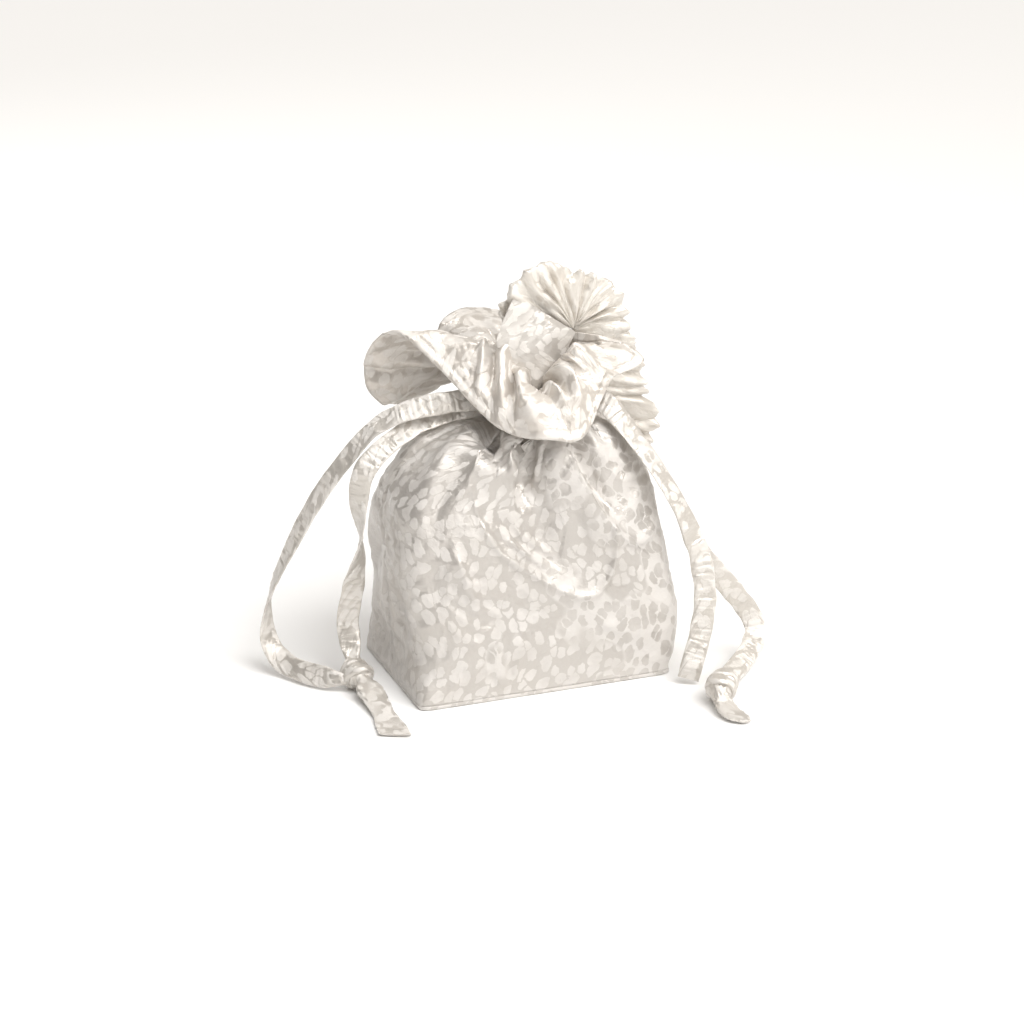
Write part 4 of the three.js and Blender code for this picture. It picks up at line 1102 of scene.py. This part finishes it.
def knot_band(name, centre, axis, tilt, turn, radius, material, seed):
    """One pass of the ribbon round a knot's core, leaning along its axis."""
    steps, around = 120, 28
    side = unit(np.cross(axis, [0, 0, 1]))
    up = np.cross(side, axis)
    phi = np.linspace(0, 2 * math.pi, steps)[:, None]
    psi = np.linspace(0, 2 * math.pi, around, endpoint=False)[None, :]
    out = np.cos(phi)[..., None] * side + np.sin(phi)[..., None] * up
    lean = tilt * radius * np.cos(phi + turn)[..., None] * axis
    pleats = BAND_PLEAT * np.cos(psi * 5 + 1.5 * np.sin(phi * 2 + seed))
    flat = np.sign(np.cos(psi)) * np.abs(np.cos(psi)) ** 0.7
    along = BAND_HALF_WIDTH * (1 + 0.12 * np.sin(2 * phi + seed)) * flat
    thick = BAND_HALF_THICKNESS * np.sin(psi) + pleats * np.sin(psi)
    points = centre + out * (radius + thick)[..., None] + lean + along[..., None] * axis
    points[..., 2] = np.maximum(points[..., 2], SURFACE_REST)
    return grid_object(name, points, material, wrap=True, flip=True)


def knot(name, route, material, seed):
    """A pulled knot and its tail."""
    route = np.array(route, float)
    steps, around = 160, 40
    share = np.linspace(0, 1, steps)
    line = through_points(route[:, :3], share)
    tangent = unit(np.gradient(line, axis=0))
    across = unit(np.column_stack([-tangent[:, 1], tangent[:, 0], np.zeros(steps)]))
    up = np.cross(tangent, across)
    size = through_points(route[:, 3:], share) * KNOT_WIDTH / 2
    angle = np.linspace(0, 2 * math.pi, around, endpoint=False)[None, :]
    run = share[:, None] * 100
    tied = smoothstep(share, 0, 0.05) * (1 - smoothstep(share, KNOT_SHARE, KNOT_SHARE + 0.08))
    wraps = KNOT_WRAPS * np.abs(np.sin(angle * 1.5 + run * 0.16 + 0.6)) - 0.10
    creases = 0.06 * creased(plane(run, angle * 12), 14, seed) * smoothstep(share, 0, 0.05)[:, None]
    bulge = 1 + wraps * tied[:, None] + creases
    hem = 1 - 0.3 * np.exp(-((share[:, None] - 0.94) / 0.008) ** 2)
    slant = np.cos(angle) * size[:, :1] * TAIL_SLANT * smoothstep(share, 0.7, 1)[:, None]
    points = (line[:, None] + across[:, None] * (np.cos(angle) * size[:, :1] * bulge)[..., None]
              + up[:, None] * (np.sin(angle) * size[:, 1:] * bulge * hem)[..., None]
              + tangent[:, None] * slant[..., None])
    points[..., 2] = np.maximum(points[..., 2], SURFACE_REST)
    pieces = [grid_object(name + "_core", points, material, wrap=True, caps=True)]
    for number, (place, tilt, band_turn) in enumerate(KNOT_BANDS):
        i = round(place * (steps - 1))
        radius = size[i].mean() * BAND_SEAT
        band = (line[i], tangent[i], tilt, band_turn, radius)
        pieces.append(knot_band(f"{name}_band_{number}", *band, material, seed + number))
    piece = join_panels(name + "_cloth", pieces)
    dress(piece, name)
    return piece


# Floor and light

def stage():
    bpy.ops.mesh.primitive_plane_add(size=FLOOR_SIZE)
    floor = bpy.context.object
    floor.name = "floor"
    material = bpy.data.materials.new("floor_white")
    material.use_nodes = True
    shader = material.node_tree.nodes["Principled BSDF"]
    shader.inputs["Base Color"].default_value = FLOOR_COLOUR
    shader.inputs["Roughness"].default_value = FLOOR_ROUGHNESS
    floor.data.materials.append(material)


def area_light(name, place, size, power):
    data = bpy.data.lights.new(name, "AREA")
    data.shape = "RECTANGLE"
    data.size, data.size_y = size
    data.energy = power
    light = add_object(name, data)
    light.location = place
    aim = Vector(LIGHT_TARGET) - Vector(place)
    light.rotation_euler = aim.to_track_quat("-Z", "Y").to_euler()


def lighting():
    world = bpy.data.worlds.new("studio")
    world.use_nodes = True
    background = world.node_tree.nodes["Background"]
    background.inputs["Color"].default_value = WORLD_COLOUR
    direction = world.node_tree.nodes.new("ShaderNodeTexCoord")
    apart = world.node_tree.nodes.new("ShaderNodeSeparateXYZ")
    strength = world.node_tree.nodes.new("ShaderNodeMapRange")
    strength.inputs["From Min"].default_value = -1
    strength.inputs["To Min"].default_value = WORLD_LEFT
    strength.inputs["To Max"].default_value = WORLD_RIGHT
    world.node_tree.links.new(direction.outputs["Generated"], apart.inputs["Vector"])
    world.node_tree.links.new(apart.outputs["X"], strength.inputs["Value"])
    world.node_tree.links.new(strength.outputs["Result"], background.inputs["Strength"])
    bpy.context.scene.world = world
    key_data = bpy.data.lights.new("key", "SUN")
    key_data.energy = KEY_POWER
    key_data.angle = math.radians(KEY_SPREAD)
    key_data.color = KEY_COLOUR
    key = add_object("key", key_data)
    key.rotation_euler = Vector(KEY_HEADING).to_track_quat("-Z", "Y").to_euler()
    for light in AREA_LIGHTS:
        area_light(**light)


make_camera()
bpy.context.scene.view_settings.view_transform = "Standard"
silks = {name: silk_material(name, *look) for name, look in SILKS.items()}
knots = {name: knot(name, route, silks["ribbon_silk"], 61) for name, route in KNOT_ROUTES.items()}
FAR_PIECES = {
    "strand_left_outer": ("knot", [knots["knot_left"]]),
    "strand_left_inner": ("knot", [knots["knot_left"]]),
    "strand_right_short": ("bare", []),
    "strand_right_long": ("knot", [knots["knot_right"]]),
}
for number, (strand_name, strand_route) in enumerate(STRAND_ROUTES.items()):
    strand_end, strand_pieces = FAR_PIECES[strand_name]
    strand(strand_name, strand_route, silks["ribbon_silk"], 71 + 7 * number, strand_end)
base(silks["body_silk"])
pouch(silks["body_silk"])
casing(silks["frill_silk"])
frill(silks["frill_silk"])
tab(silks["tab_silk"])
strap(silks["ruched_silk"])
stage()
lighting()
